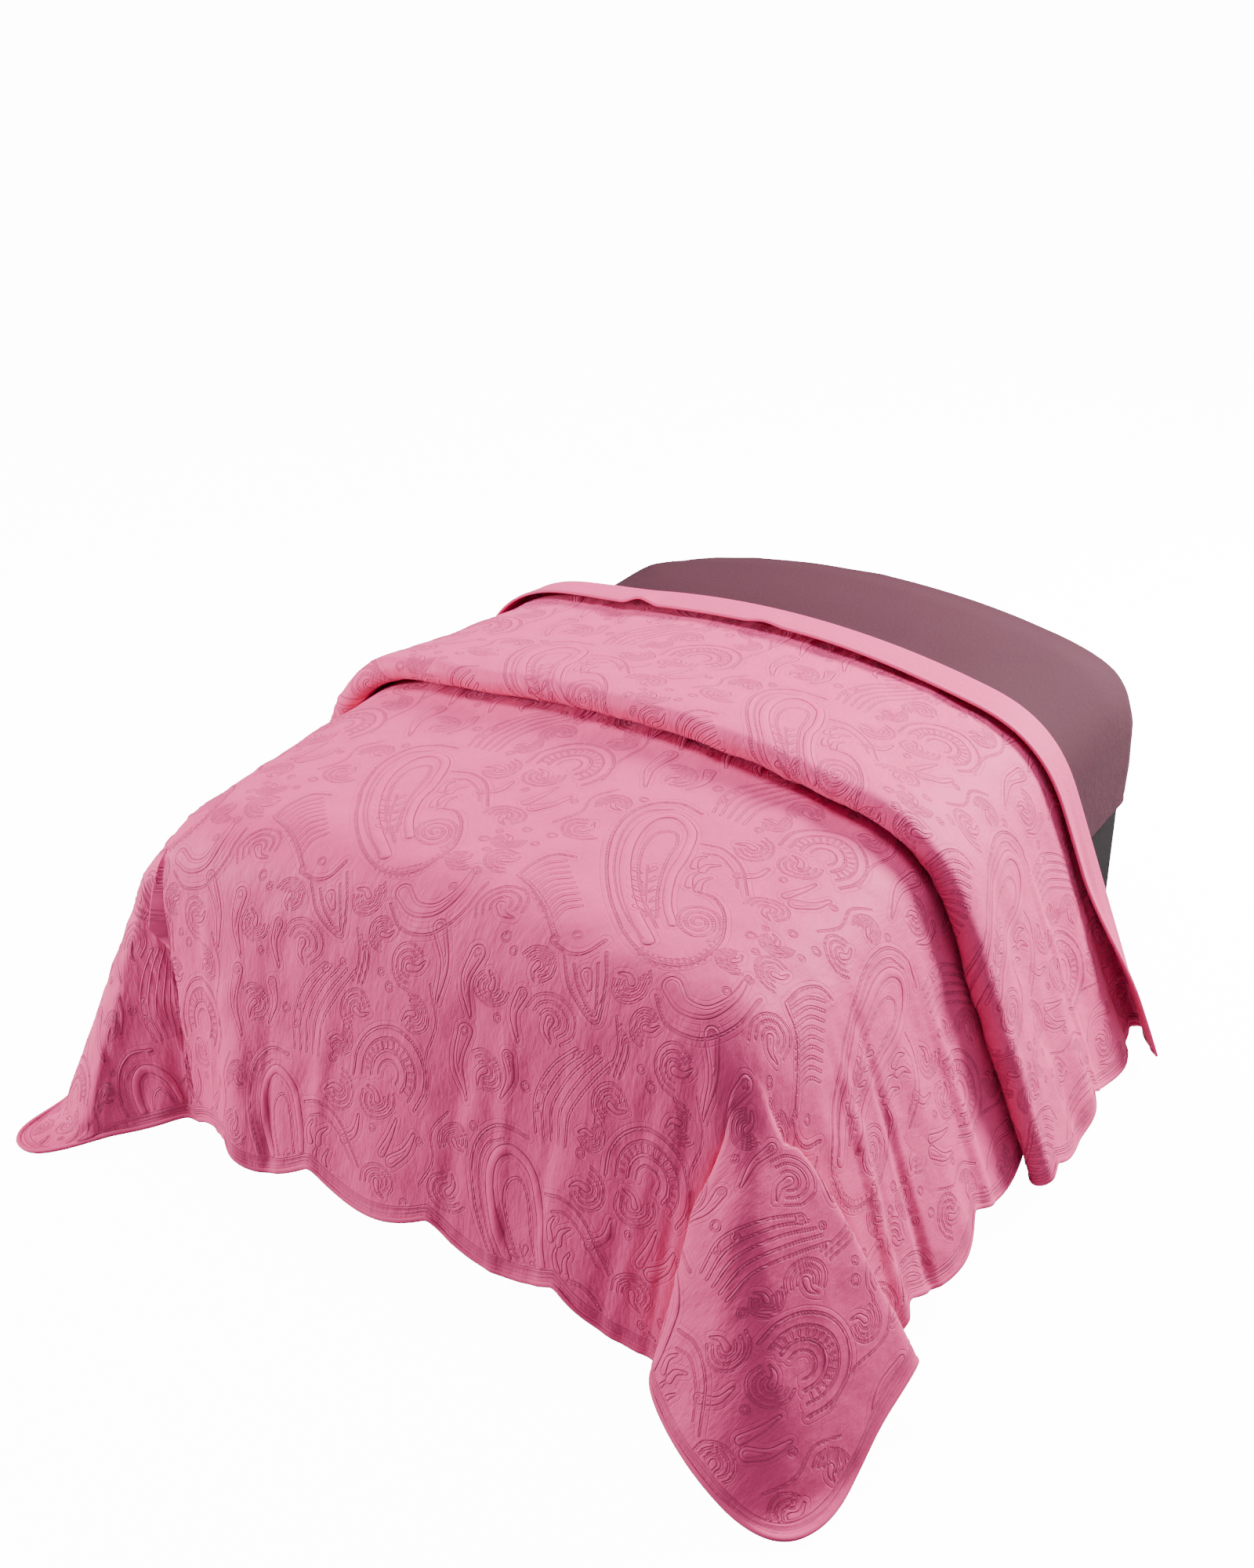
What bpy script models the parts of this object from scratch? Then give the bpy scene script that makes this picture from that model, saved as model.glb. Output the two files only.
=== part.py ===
"""A quilted bedspread lying on a plain bed, its head end folded back in a thick tuck.

Metres, +Z up. The origin is on the floor under the middle of the bed, +X is to the right seen from the
foot, and +Y points to the head. The cloth is worked out from flat coordinates: u across it from the middle,
and v along it, which equals the distance from the bed's middle as far as the first fold.
"""

from math import pi, radians

import bmesh
import bpy
import numpy as np

# The bed
MATTRESS_WIDTH = 1.52
MATTRESS_LENGTH = 2.03
MATTRESS_BOTTOM = 0.33
MATTRESS_CORNER = 0.10
MATTRESS_EDGE_DROP = 0.035
BASE_WIDTH = 1.46
BASE_LENGTH = 1.98
BASE_BEVEL = 0.012
SEAT_GAP = 0.0003

# How the cloth leaves the top: heights and lengths at the middle of its rounded edge
EDGE_HEIGHT = 0.735
EDGE_HALF_WIDTH = 0.714
EDGE_FOOT = 1.015
BEND = 0.18
CROWN_SLOPE = 0.238
FOOT_CROWN_SHARE = 0.6
FOOT_CROWN_FADE = 0.75
SIDE_LEAN = 22
FOOT_LEAN = 13
FLOOR_CLEARANCE = 0.006
FLOOR_CURL = 0.04

# The cloth
THICKNESS = 0.004
SIDE_FALL = 0.715
FOOT_FALL = 0.667
BAND_EXTRA_FALL = 0.055
SCALLOP_PITCH = 0.31
SCALLOP_DEPTH = 0.044
SCALLOP_SHIFT = -0.045
REST_GAP = 0.0006

# The tuck at the head end
BACK_FOLD_Y = -0.150
FOLD_RUNS = (
    # cloth length, heading at its end in degrees: 0 to the head, 90 outwards, 180 to the foot
    (0.025, 180),
    (0.120, 180),
    (0.085, 0),
    (0.100, -12),
    (0.160, -7),
    (0.420, 0),
    (0.034, 180),
    (0.100, 183),
)
CUFF_LENGTH = 0.10
CUFF_LIFT = 0.045

# Folds at the foot's corners. Columns: angle on the flat cloth from the side, compass angle of the
# fall line from the side towards the foot, and its lean from upright, all in degrees
RIGHT_CORNER = (
    (0, 0, 22),
    (9, -7, 33),
    (24, 21, 31),
    (40, 50, 34),
    (50, 66, 32.5),
    (66, 97, 24.5),
    (82, 85, 7),
    (90, 90, 13),
)
LEFT_CORNER = (
    (0, 0, 22),
    (10, -12, 17),
    (24, 26, 21.5),
    (30, 34, 22),
    (36, 42, 22.5),
    (42, 50, 21.5),
    (48, 60, 20),
    (54, 62, 18.5),
    (60, 67, 16),
    (66, 83, 12),
    (72, 111, 11),
    (78, 137, 11),
    (84, 144, 12),
    (90, 147, 13),
)
# Columns: angle on the flat cloth, length of the fall
RIGHT_REACH = (
    (0, 0.715),
    (9, 0.645),
    (24, 0.728),
    (34, 0.850),
    (41, 0.875),
    (50, 0.770),
    (58, 0.700),
    (66, 0.620),
    (82, 0.610),
    (90, 0.646),
)
LEFT_REACH = (
    (0, 0.715),
    (10, 0.710),
    (24, 0.715),
    (30, 0.767),
    (36, 0.830),
    (42, 0.870),
    (48, 0.852),
    (54, 0.775),
    (60, 0.705),
    (66, 0.680),
    (72, 0.641),
    (78, 0.612),
    (84, 0.611),
    (90, 0.610),
)
FOLD_ROUNDING = 2.6
REACH_ROUNDING = 3
LEFT_FOOT_PULL = 0.19
LEFT_FOOT_TUCK = 0.10
LEFT_TUCK_FROM = 0.45
LEFT_FOOT_RISE = 0.055

# Loft of the cloth over the bed's left edge. Columns: distance along the bed, height
LEFT_LOFT = (
    (-0.95, 0.0),
    (-0.50, 0.025),
    (0.10, 0.045),
    (0.42, 0.035),
)
LEFT_LOFT_U = -0.72
LEFT_LOFT_HALF = 0.40

# Soft swells in the hanging cloth: side (1 right, -1 left, 0 foot), place along it, half width, height
SWELLS = (
    (1, -0.62, 0.16, 0.020),
    (1, 0.02, 0.10, 0.022),
    (1, 0.26, 0.11, 0.018),
    (-1, -0.70, 0.17, 0.022),
    (-1, -0.25, 0.13, 0.018),
    (-1, 0.22, 0.12, 0.022),
    (0, -0.46, 0.15, 0.018),
    (0, 0.02, 0.17, 0.014),
    (0, 0.44, 0.13, 0.018),
)

# Quilted motifs that are raised in the points
RELIEF = 0.005
MOTIF_PITCH = (0.60, 0.90)
MOTIF_FIRST = (-0.215, -0.79)
MOTIF_TURN = 33
MOTIF_SLOPE = 0.022
# Columns: place in the repeat (u, v), length, bend to the right, radius at the round end, at the tip
MOTIFS = (
    (0.02, -0.04, 0.36, 0.03, 0.095, 0.045),
    (-0.19, -0.17, 0.15, -0.04, 0.065, 0.015),
    (-0.12, -0.36, 0.14, 0.05, 0.050, 0.020),
    (0.12, -0.40, 0.10, 0.08, 0.070, 0.020),
    (0.20, 0.30, 0.10, -0.05, 0.085, 0.040),
)

# Mesh rows and columns
STEP = 0.004
FALL_STEPS = 11
FAN_STEP = 5.5
TOP_COLUMNS = 28
MAIN_ROWS = 13
FOLD_ROWS = (4, 2, 7, 2, 3, 5, 5, 2)
MATTRESS_COLUMNS = 28
MATTRESS_ROWS = 34

FABRIC = ("bedspread_pink", (0.66, 0.165, 0.29), 0.85)
SHEET = ("fitted_sheet", (0.50, 0.22, 0.28), 0.9)
DARK = ("dark_base", (0.03, 0.022, 0.026), 0.8)


def smooth(t):
    """Eased step from 0 to 1."""
    t = np.clip(t, 0, 1)
    return t * t * (3 - 2 * t)


def mix(a, b, t):
    """Value between a and b."""
    return a + (b - a) * t


def running(values):
    """Integral of samples that lie STEP apart, from the first one."""
    middle = (values[1:] + values[:-1]) / 2 * STEP
    return np.concatenate([np.zeros_like(values[:1]), np.cumsum(middle, axis=0)])


class Section:
    """A section through the resting cloth, from the middle of the top over the edge and down."""

    def __init__(self, crown, edge, lean):
        self.edge = edge
        self.lean = radians(lean)
        self.arc = np.arange(0, 2.6, STEP)
        inner = edge - BEND
        slope = crown * np.minimum(self.arc / inner, 1)
        slope = slope + (pi / 2 - self.lean - crown) * smooth((self.arc - inner) / (2 * BEND))
        self.outward = running(np.cos(slope))
        self.drop = running(np.sin(slope))
        self.rise = float(np.interp(edge, self.arc, self.drop))

    def run(self, s):
        return np.interp(s, self.arc, self.outward)

    def fall(self, s):
        return np.interp(s, self.arc, self.drop)

    def arc_at(self, outward):
        return np.interp(outward, self.outward, self.arc)

    def apex(self):
        """Where the straight fall would start if the edge were sharp."""
        back = 2 * BEND
        far = self.edge + back
        return self.run(far) - back * np.sin(self.lean), self.fall(far) - back * np.cos(self.lean)


FULL = Section(CROWN_SLOPE, EDGE_HALF_WIDTH, SIDE_LEAN)
LOW = Section(CROWN_SLOPE * FOOT_CROWN_SHARE, EDGE_HALF_WIDTH, SIDE_LEAN)
FOOT = Section(0, EDGE_FOOT, FOOT_LEAN)


def top_height(across, run_of, y):
    """Height of the resting cloth for a place across it and a distance along the bed."""
    full = smooth((y + EDGE_FOOT - BEND) / FOOT_CROWN_FADE)
    low_fall = LOW.rise - LOW.fall(LOW.arc_at(across) if run_of else across)
    full_fall = FULL.rise - FULL.fall(FULL.arc_at(across) if run_of else across)
    down = np.maximum(-y, 0)
    end_fall = FOOT.fall(FOOT.arc_at(down) if run_of else down)
    return EDGE_HEIGHT + mix(low_fall, full_fall, full) - end_fall


def fall_directions(knots):
    """Unit directions of a corner's fall lines every half degree, its folds rounded."""
    degrees = np.arange(-15, 105.01, 0.5)
    at, compass, lean = np.array(knots, float).T
    compass, lean = np.radians(compass), np.radians(lean)
    ways = (np.cos(compass) * np.sin(lean), -np.sin(compass) * np.sin(lean), -np.cos(lean))
    sharp = np.stack([np.interp(degrees, at, way) for way in ways], 1)
    kernel = np.exp(-(np.arange(-10, 10.01, 0.5) / FOLD_ROUNDING) ** 2 / 2)
    kernel /= kernel.sum()
    soft = np.stack([np.convolve(sharp[:, i], kernel, "same") for i in range(3)], 1)
    inside = smooth(np.minimum(degrees, 90 - degrees) / 7)[:, None]
    way = mix(sharp, soft, inside)[(degrees >= 0) & (degrees <= 90)]
    return way / np.linalg.norm(way, axis=1)[:, None]


CORNERS = {1: fall_directions(RIGHT_CORNER), -1: fall_directions(LEFT_CORNER)}


def corner_fall(rho, phi, side):
    """Cloth that hangs from a corner of the foot, in the right corner's coordinates."""
    side_run, side_drop = LOW.apex()
    foot_run, foot_drop = FOOT.apex()
    at_side = np.array([side_run, -FOOT.run(EDGE_FOOT), -side_drop + LOW.rise - FOOT.fall(EDGE_FOOT)])
    at_foot = np.array([LOW.run(EDGE_HALF_WIDTH), -foot_run, -foot_drop])
    apex = mix(at_side, at_foot, smooth(phi / (pi / 2))[:, None]) + [0, 0, EDGE_HEIGHT]
    place = np.clip(np.degrees(phi) / 0.5, 0, 179.999)
    first = place.astype(int)
    part = (place - first)[:, None]
    ways = {key: mix(table[first], table[first + 1], part) for key, table in CORNERS.items()}
    way = np.where(side[:, None] > 0, ways[1], ways[-1])
    point = apex + rho[:, None] * way
    # Cloth that would pass through the floor curls out along it instead
    low = np.maximum(0, FLOOR_CLEARANCE + THICKNESS / 2 + FLOOR_CURL - point[:, 2])
    lift = low - FLOOR_CURL * (1 - np.exp(-low / FLOOR_CURL))
    level = np.hypot(way[:, 0], way[:, 1])
    point[:, 2] += lift
    point[:, :2] += way[:, :2] / level[:, None] * (lift * (1 - level) / -way[:, 2])[:, None]
    return point


def resting(u, y):
    """Points of the plain resting cloth for flat places across it and along the bed."""
    side = np.where(u < 0, -1.0, 1.0)
    across = np.abs(u)
    down = np.maximum(-y, 0)
    full = smooth((y + EDGE_FOOT - BEND) / FOOT_CROWN_FADE)
    x = mix(LOW.run(across), FULL.run(across), full)
    pull = np.where(u < 0, LEFT_FOOT_PULL, 0) * smooth((across - 0.2) / (EDGE_HALF_WIDTH - 0.2))
    past_foot = np.maximum(down - EDGE_FOOT, 0) * (across <= EDGE_HALF_WIDTH)
    x = x - pull * past_foot
    tuck = np.where(u < 0, LEFT_FOOT_TUCK, 0) * smooth((across - LEFT_TUCK_FROM) / (EDGE_HALF_WIDTH - LEFT_TUCK_FROM))
    length = np.where(y < 0, tuck * past_foot - FOOT.run(down), y)
    point = np.stack([x, length, top_height(across, False, y)], -1)
    beyond_side = across - EDGE_HALF_WIDTH
    beyond_foot = down - EDGE_FOOT
    corner = (beyond_side > 0) & (beyond_foot > 0)
    rho = np.hypot(beyond_side, beyond_foot)[corner]
    phi = np.arctan2(beyond_foot, beyond_side)[corner]
    hanging = corner_fall(rho, phi, side[corner])
    inside = smooth(np.minimum(phi, pi / 2 - phi) / radians(20) + np.maximum(0, (rho - BEND) / 0.06))
    point[corner] = mix(point[corner], hanging, (smooth(rho / 0.24) * inside)[:, None])
    point[..., 0] *= side
    return point


def fold_path():
    """Samples of the tuck: cloth length, distance along the bed, and distance out from the resting cloth."""
    length, heading = [0.0], [0.0]
    for run, turned_to in FOLD_RUNS:
        length.append(length[-1] + run)
        heading.append(turned_to)
    arc = np.arange(0, length[-1] + STEP, STEP / 4)
    angle = np.radians(np.interp(arc, length, heading))
    step = STEP / 4
    along = BACK_FOLD_Y + np.concatenate([[0], np.cumsum(np.cos(angle[:-1]) * step)])
    out = np.concatenate([[0], np.cumsum(np.sin(angle[:-1]) * step)])
    return arc, along, out


FOLD_ARC, FOLD_ALONG, FOLD_OUT = fold_path()
CLOTH_END = BACK_FOLD_Y + sum(run for run, _ in FOLD_RUNS)


def folded(v):
    """Distance along the bed and out from it, for places along the cloth."""
    past = v - BACK_FOLD_Y
    along = np.where(past < 0, v, np.interp(past, FOLD_ARC, FOLD_ALONG))
    return along, np.interp(past, FOLD_ARC, FOLD_OUT, left=0)


def swell(u, along):
    """Soft outward folds of the hanging cloth, growing towards its hem."""
    out = np.zeros_like(u)
    for side, place, half_width, height in SWELLS:
        if side:
            fall = np.clip((u * side - EDGE_HALF_WIDTH) / SIDE_FALL, 0, 1) * (along > -EDGE_FOOT)
            across = along - place
        else:
            fall = np.clip((-along - EDGE_FOOT) / FOOT_FALL, 0, 1) * (np.abs(u) < EDGE_HALF_WIDTH)
            across = u - place
        out += height * fall ** 1.2 * smooth(1 - np.abs(across) / half_width)
    return out


def loft(u, along):
    """Extra height of every layer over the bed's left edge."""
    place, height = zip(*LEFT_LOFT)
    return np.interp(along, place, height) * smooth(1 - np.abs(u - LEFT_LOFT_U) / LEFT_LOFT_HALF)


def cuff_lift(u, v):
    """How far the turned-back head edge stands off, most of all at its right end."""
    free = smooth((v - (CLOTH_END - CUFF_LENGTH)) / CUFF_LENGTH)
    ends = smooth((u - 1.02) / 0.36) + 0.5 * smooth((-u - 1.1) / 0.3)
    notch = 0.28 * smooth(1 - np.abs(u + 0.33) / 0.07)
    return CUFF_LIFT * free * (ends + notch)


def cloth_point(u, v):
    """Points of the cloth's middle surface."""
    along, out = folded(v)
    out = out + swell(u, along) + loft(u, along) + cuff_lift(u, v)
    tiny = 0.002
    middle = resting(u, along)
    du = resting(u + tiny, along) - resting(u - tiny, along)
    dv = resting(u, along + tiny) - resting(u, along - tiny)
    normal = np.cross(du, dv)
    normal /= np.linalg.norm(normal, axis=-1)[..., None]
    return middle + normal * out[..., None]


def scallop(s):
    """Rounded waves of the hem, from -0.5 in the notches to 0.5 on the lobes."""
    return 0.5 * np.cos(2 * pi * (s - SCALLOP_SHIFT) / SCALLOP_PITCH)


def side_reach(v):
    """Length of the fall at the sides."""
    extra = BAND_EXTRA_FALL * smooth((v - BACK_FOLD_Y - 0.05) / 0.2)
    return SIDE_FALL + extra + SCALLOP_DEPTH * scallop(v)


def foot_reach(u):
    """Length of the fall at the foot."""
    rise = LEFT_FOOT_RISE * smooth((-u - LEFT_TUCK_FROM) / (EDGE_HALF_WIDTH - LEFT_TUCK_FROM))
    return FOOT_FALL - rise + SCALLOP_DEPTH * scallop(u)


def corner_reach(degrees, table, edge_u):
    """Length of the fall in a corner's fan, which meets the sides' hem at both ends."""
    at, length = np.array(table, float).T
    fine = np.arange(-12, 102.01, 0.5)
    kernel = np.exp(-(np.arange(-12, 12.01, 0.5) / REACH_ROUNDING) ** 2 / 2)
    soft = np.convolve(np.interp(fine, at, length), kernel / kernel.sum(), "same")
    side_miss = side_reach(-EDGE_FOOT) - np.interp(0, fine, soft)
    foot_miss = foot_reach(edge_u) - np.interp(90, fine, soft)
    fade = smooth(degrees / 90)
    near_side = smooth(1 - degrees / 25)
    near_foot = smooth(1 - (90 - degrees) / 25)
    return np.interp(degrees, fine, soft) + side_miss * near_side * (1 - fade) + foot_miss * near_foot * fade


def top_stations():
    """Flat coordinates of the mesh's columns and rows on top of the bed, the tuck's layers included."""
    columns = np.linspace(-EDGE_HALF_WIDTH, EDGE_HALF_WIDTH, TOP_COLUMNS + 1)
    rows = [np.linspace(-EDGE_FOOT, BACK_FOLD_Y, MAIN_ROWS + 1)]
    start = BACK_FOLD_Y
    for (run, _), count in zip(FOLD_RUNS, FOLD_ROWS):
        rows.append(start + run * np.arange(1, count + 1) / count)
        start += run
    return columns, np.concatenate(rows)


def fan_angles(knots):
    """Angles of a corner's fall lines, one on each fold and others between, without the two ends."""
    at = [row[0] for row in knots]
    angles = []
    for low, high in zip(at, at[1:]):
        count = int(np.ceil((high - low) / FAN_STEP))
        angles.extend(low + (high - low) * np.arange(count) / count)
    return np.array(angles[1:])


def hem_stations(columns, rows):
    """Rows (edge u, edge v, way u, way v, length, index on top) around the bed, from the left head end."""
    last = len(columns) - 1
    count = len(columns)
    stations = []
    for j in range(len(rows) - 1, -1, -1):
        stations.append((columns[0], rows[j], -1, 0, side_reach(rows[j]), j * count))
    for angle in fan_angles(LEFT_CORNER):
        length = float(corner_reach(angle, LEFT_REACH, columns[0]))
        turn = radians(angle)
        stations.append((columns[0], rows[0], -np.cos(turn), -np.sin(turn), length, 0))
    for i, u in enumerate(columns):
        stations.append((u, rows[0], 0, -1, foot_reach(u), i))
    for angle in fan_angles(RIGHT_CORNER)[::-1]:
        length = float(corner_reach(angle, RIGHT_REACH, columns[-1]))
        turn = radians(angle)
        stations.append((columns[-1], rows[0], np.cos(turn), -np.sin(turn), length, last))
    for j in range(len(rows)):
        stations.append((columns[-1], rows[j], 1, 0, side_reach(rows[j]), j * count + last))
    return np.array(stations)


def flat_mesh():
    """Flat coordinates of every point, the faces between them, and the points round the cloth's edge."""
    columns, rows = top_stations()
    u, v = np.meshgrid(columns, rows)
    index = np.arange(u.size).reshape(u.shape)
    faces = np.stack([index[:-1, :-1], index[:-1, 1:], index[1:, 1:], index[1:, :-1]], -1).reshape(-1, 4)
    faces = [tuple(face) for face in faces]
    stations = hem_stations(columns, rows)
    share = np.arange(1, FALL_STEPS + 1)[:, None] / FALL_STEPS
    fall_u = stations[:, 0] + share * stations[:, 4] * stations[:, 2]
    fall_v = stations[:, 1] + share * stations[:, 4] * stations[:, 3]
    skirt = np.concatenate([stations[None, :, 5].astype(int), u.size + np.arange(fall_u.size).reshape(fall_u.shape)])
    for ring, further in zip(skirt, skirt[1:]):
        for k in range(len(ring) - 1):
            face = (ring[k], further[k], further[k + 1], ring[k + 1])
            faces.append(face[:3] if face[0] == face[3] else face)
    rim = np.concatenate([skirt[:, 0], skirt[-1, 1:], skirt[-2::-1, -1], index[-1, -2:0:-1]])
    return np.concatenate([u.ravel(), fall_u.ravel()]), np.concatenate([v.ravel(), fall_v.ravel()]), faces, rim


def motif_relief(u, v):
    """Raised paisleys and drops in the quilting, from 0 to 1."""
    height = np.zeros_like(u)
    pitch_u, pitch_v = MOTIF_PITCH
    turn = radians(MOTIF_TURN)
    for place_u, place_v, length, bend, big, small in MOTIFS:
        du = u - MOTIF_FIRST[0] - place_u
        du = du - pitch_u * np.round(du / pitch_u)
        dv = v - MOTIF_FIRST[1] - place_v
        dv = dv - pitch_v * np.round(dv / pitch_v)
        across = du * np.cos(turn) + dv * np.sin(turn)
        along = dv * np.cos(turn) - du * np.sin(turn)
        inside = np.full_like(u, -1.0)
        for t in np.linspace(0, 1, 7):
            radius = mix(big, small, t)
            inside = np.maximum(inside, radius - np.hypot(across - bend * t * t, along - length * (t - 0.35)))
        height = np.maximum(height, smooth(inside / MOTIF_SLOPE + 0.5))
    return height


def point_normals(points, faces):
    """Unit normals at a mesh's points from the faces around them."""
    total = np.zeros_like(points)
    for sides in (3, 4):
        group = np.array([face for face in faces if len(face) == sides])
        corners = points[group]
        normal = np.cross(corners[:, 2] - corners[:, 0], corners[:, -1] - corners[:, 1])
        for i in range(sides):
            np.add.at(total, group[:, i], normal)
    return total / np.linalg.norm(total, axis=1)[:, None]


def new_object(name, mesh, finish):
    """Links a mesh under its node's name with its own material."""
    label, colour, roughness = finish
    material = bpy.data.materials.new(label)
    material.use_nodes = True
    shader = material.node_tree.nodes["Principled BSDF"]
    shader.inputs["Base Color"].default_value = (*colour, 1)
    shader.inputs["Roughness"].default_value = roughness
    shader.inputs["Metallic"].default_value = 0
    mesh.materials.append(material)
    made = bpy.data.objects.new(name, mesh)
    bpy.context.collection.objects.link(made)
    return made


def make_bedspread():
    """The one-piece cloth: an outer and an inner sheet of points joined along the hem."""
    u, v, faces, rim = flat_mesh()
    middle = cloth_point(u, v)
    normal = point_normals(middle, faces)
    relief = RELIEF * motif_relief(u, v)
    relief[rim] = 0
    outer = middle + normal * (THICKNESS / 2 + relief)[:, None]
    inner = middle - normal * (THICKNESS / 2)
    count = len(u)
    under = [tuple(i + count for i in face[::-1]) for face in faces]
    after = np.roll(rim, -1)
    hem = np.stack([after, rim, rim + count, after + count], -1)
    mesh = bpy.data.meshes.new("bedspread")
    points = np.concatenate([outer, inner])
    mesh.from_pydata(points.tolist(), [], [*faces, *under, *hem.tolist()])
    made = new_object("bedspread", mesh, FABRIC)
    mesh.shade_smooth()
    return made


def mattress_top(x, y):
    """Height of the mattress just under the cloth, lower towards its edges."""
    edge = np.maximum(np.abs(x) / (MATTRESS_WIDTH / 2), np.abs(y) / (MATTRESS_LENGTH / 2))
    gap = REST_GAP + THICKNESS / 2 + MATTRESS_EDGE_DROP * smooth((edge - 0.55) / 0.45)
    head = 0.03 * smooth((y - 0.80) / 0.215)
    return top_height(np.abs(x), True, y) - gap - head


def make_mattress():
    """A soft mattress with a crowned top, rounded corners and a flat bottom."""
    mesh = bpy.data.meshes.new("mattress")
    shape = bmesh.new()
    bmesh.ops.create_grid(shape, x_segments=MATTRESS_COLUMNS, y_segments=MATTRESS_ROWS, size=1)
    half_width, half_length = MATTRESS_WIDTH / 2, MATTRESS_LENGTH / 2
    for vert in shape.verts:
        x, y = vert.co.x * half_width, vert.co.y * half_length
        over_x = abs(x) - (half_width - MATTRESS_CORNER)
        over_y = abs(y) - (half_length - MATTRESS_CORNER)
        if over_x > 0 and over_y > 0:
            keep = max(over_x, over_y) / np.hypot(over_x, over_y)
            x = np.copysign(half_width - MATTRESS_CORNER + over_x * keep, x)
            y = np.copysign(half_length - MATTRESS_CORNER + over_y * keep, y)
        vert.co = (x, y, float(mattress_top(x, y)))
    rim = [edge for edge in shape.edges if edge.is_boundary]
    made = bmesh.ops.extrude_edge_only(shape, edges=rim)["geom"]
    lower = [item for item in made if isinstance(item, bmesh.types.BMVert)]
    for vert in lower:
        vert.co.z = MATTRESS_BOTTOM + SEAT_GAP
    open_edges = [edge for edge in shape.edges if edge.is_boundary]
    bmesh.ops.contextual_create(shape, geom=open_edges)
    bmesh.ops.recalc_face_normals(shape, faces=shape.faces)
    shape.to_mesh(mesh)
    shape.free()
    mesh.shade_smooth()
    mesh.set_sharp_from_angle(angle=radians(50))
    return new_object("mattress", mesh, SHEET)


def make_base():
    """A plain dark bed base with softened edges."""
    mesh = bpy.data.meshes.new("bed_base")
    shape = bmesh.new()
    bmesh.ops.create_cube(shape, size=1)
    bmesh.ops.scale(shape, vec=(BASE_WIDTH, BASE_LENGTH, MATTRESS_BOTTOM), verts=shape.verts)
    bmesh.ops.translate(shape, vec=(0, 0, MATTRESS_BOTTOM / 2), verts=shape.verts)
    bmesh.ops.bevel(shape, geom=shape.edges, offset=BASE_BEVEL, segments=3, profile=0.5, affect="EDGES")
    bmesh.ops.recalc_face_normals(shape, faces=shape.faces)
    shape.to_mesh(mesh)
    shape.free()
    return new_object("bed_base", mesh, DARK)


def clear_scene():
    """Empties the scene."""
    for old in list(bpy.data.objects):
        bpy.data.objects.remove(old, do_unlink=True)


clear_scene()
make_bedspread()
make_mattress()
make_base()
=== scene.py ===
"""Looks of a quilted bedspread on a plain bed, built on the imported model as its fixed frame.

The cloth is worked out from flat coordinates: u across it from the middle, and v along it, which equals
the distance from the bed's middle as far as the first fold of the tuck at its head end.
"""

import logging
from collections.abc import Sequence
from dataclasses import dataclass
from enum import Enum
from math import pi, radians

import bpy
import numpy as np
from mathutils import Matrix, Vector
from numpy.typing import NDArray

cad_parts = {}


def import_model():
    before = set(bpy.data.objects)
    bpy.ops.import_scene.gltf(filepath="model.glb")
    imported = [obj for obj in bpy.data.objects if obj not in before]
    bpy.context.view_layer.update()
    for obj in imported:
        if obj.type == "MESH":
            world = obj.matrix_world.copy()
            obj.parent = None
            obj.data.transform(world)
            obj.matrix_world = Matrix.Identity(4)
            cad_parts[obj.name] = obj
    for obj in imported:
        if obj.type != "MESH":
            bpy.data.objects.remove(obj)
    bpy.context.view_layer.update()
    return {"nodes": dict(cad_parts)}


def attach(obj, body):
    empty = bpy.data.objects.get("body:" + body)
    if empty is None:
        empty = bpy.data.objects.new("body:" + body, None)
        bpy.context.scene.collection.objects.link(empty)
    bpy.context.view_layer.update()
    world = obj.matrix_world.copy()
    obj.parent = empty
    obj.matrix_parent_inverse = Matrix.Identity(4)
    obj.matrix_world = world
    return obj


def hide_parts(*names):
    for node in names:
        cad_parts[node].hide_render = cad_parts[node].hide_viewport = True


LOG = logging.getLogger("bedspread")
Array = NDArray[np.float64]
Ints = NDArray[np.int64]
Material = bpy.types.Material
Object = bpy.types.Object
Point = tuple[float, float]
Socket = bpy.types.NodeSocket
FIELDS = ("ribbon", "shape", "rib", "stipple")
SEED = 20


def smooth(t: Array | float) -> Array:
    """Eased step from 0 to 1."""
    t = np.clip(t, 0.0, 1.0)
    return t * t * (3.0 - 2.0 * t)


def mix(a: Array | float, b: Array | float, t: Array | float) -> Array:
    """Value between a and b."""
    return a + (b - a) * t


def curve(points: Sequence[Point] | Array, step: float, closed: bool = False) -> Array:
    """Even samples of a smooth curve through points.

    Args:
        points: Points that the curve passes.
        step: Distance between samples.
        closed: Whether the curve returns to its first point.

    Returns:
        The samples, one row each.
    """
    knots = np.array(points, float)
    if closed:
        knots = np.concatenate([knots[-1:], knots, knots[:2]])
    else:
        knots = np.concatenate([2 * knots[:1] - knots[1:2], knots, 2 * knots[-1:] - knots[-2:-1]])
    t = np.linspace(0, 1, 25)[:, None]
    pieces = []
    for a, b, c, d in zip(knots, knots[1:], knots[2:], knots[3:]):
        squared, cubed = 2 * a - 5 * b + 4 * c - d, 3 * b - a - 3 * c + d
        pieces.append(0.5 * (2 * b + (c - a) * t + squared * t**2 + cubed * t**3))
    fine = np.concatenate(pieces)
    length = np.concatenate([[0], np.cumsum(np.linalg.norm(np.diff(fine, axis=0), axis=1))])
    at = np.linspace(0, length[-1], max(2, round(length[-1] / step) + 1))
    return np.stack([np.interp(at, length, fine[:, 0]), np.interp(at, length, fine[:, 1])], 1)


def circle_points(start: float, end: float, count: int) -> Array:
    """Points on a circle of radius 1, between two angles in degrees."""
    turns = np.radians(np.linspace(start, end, count))
    return np.stack([np.cos(turns), np.sin(turns)], 1)


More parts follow.
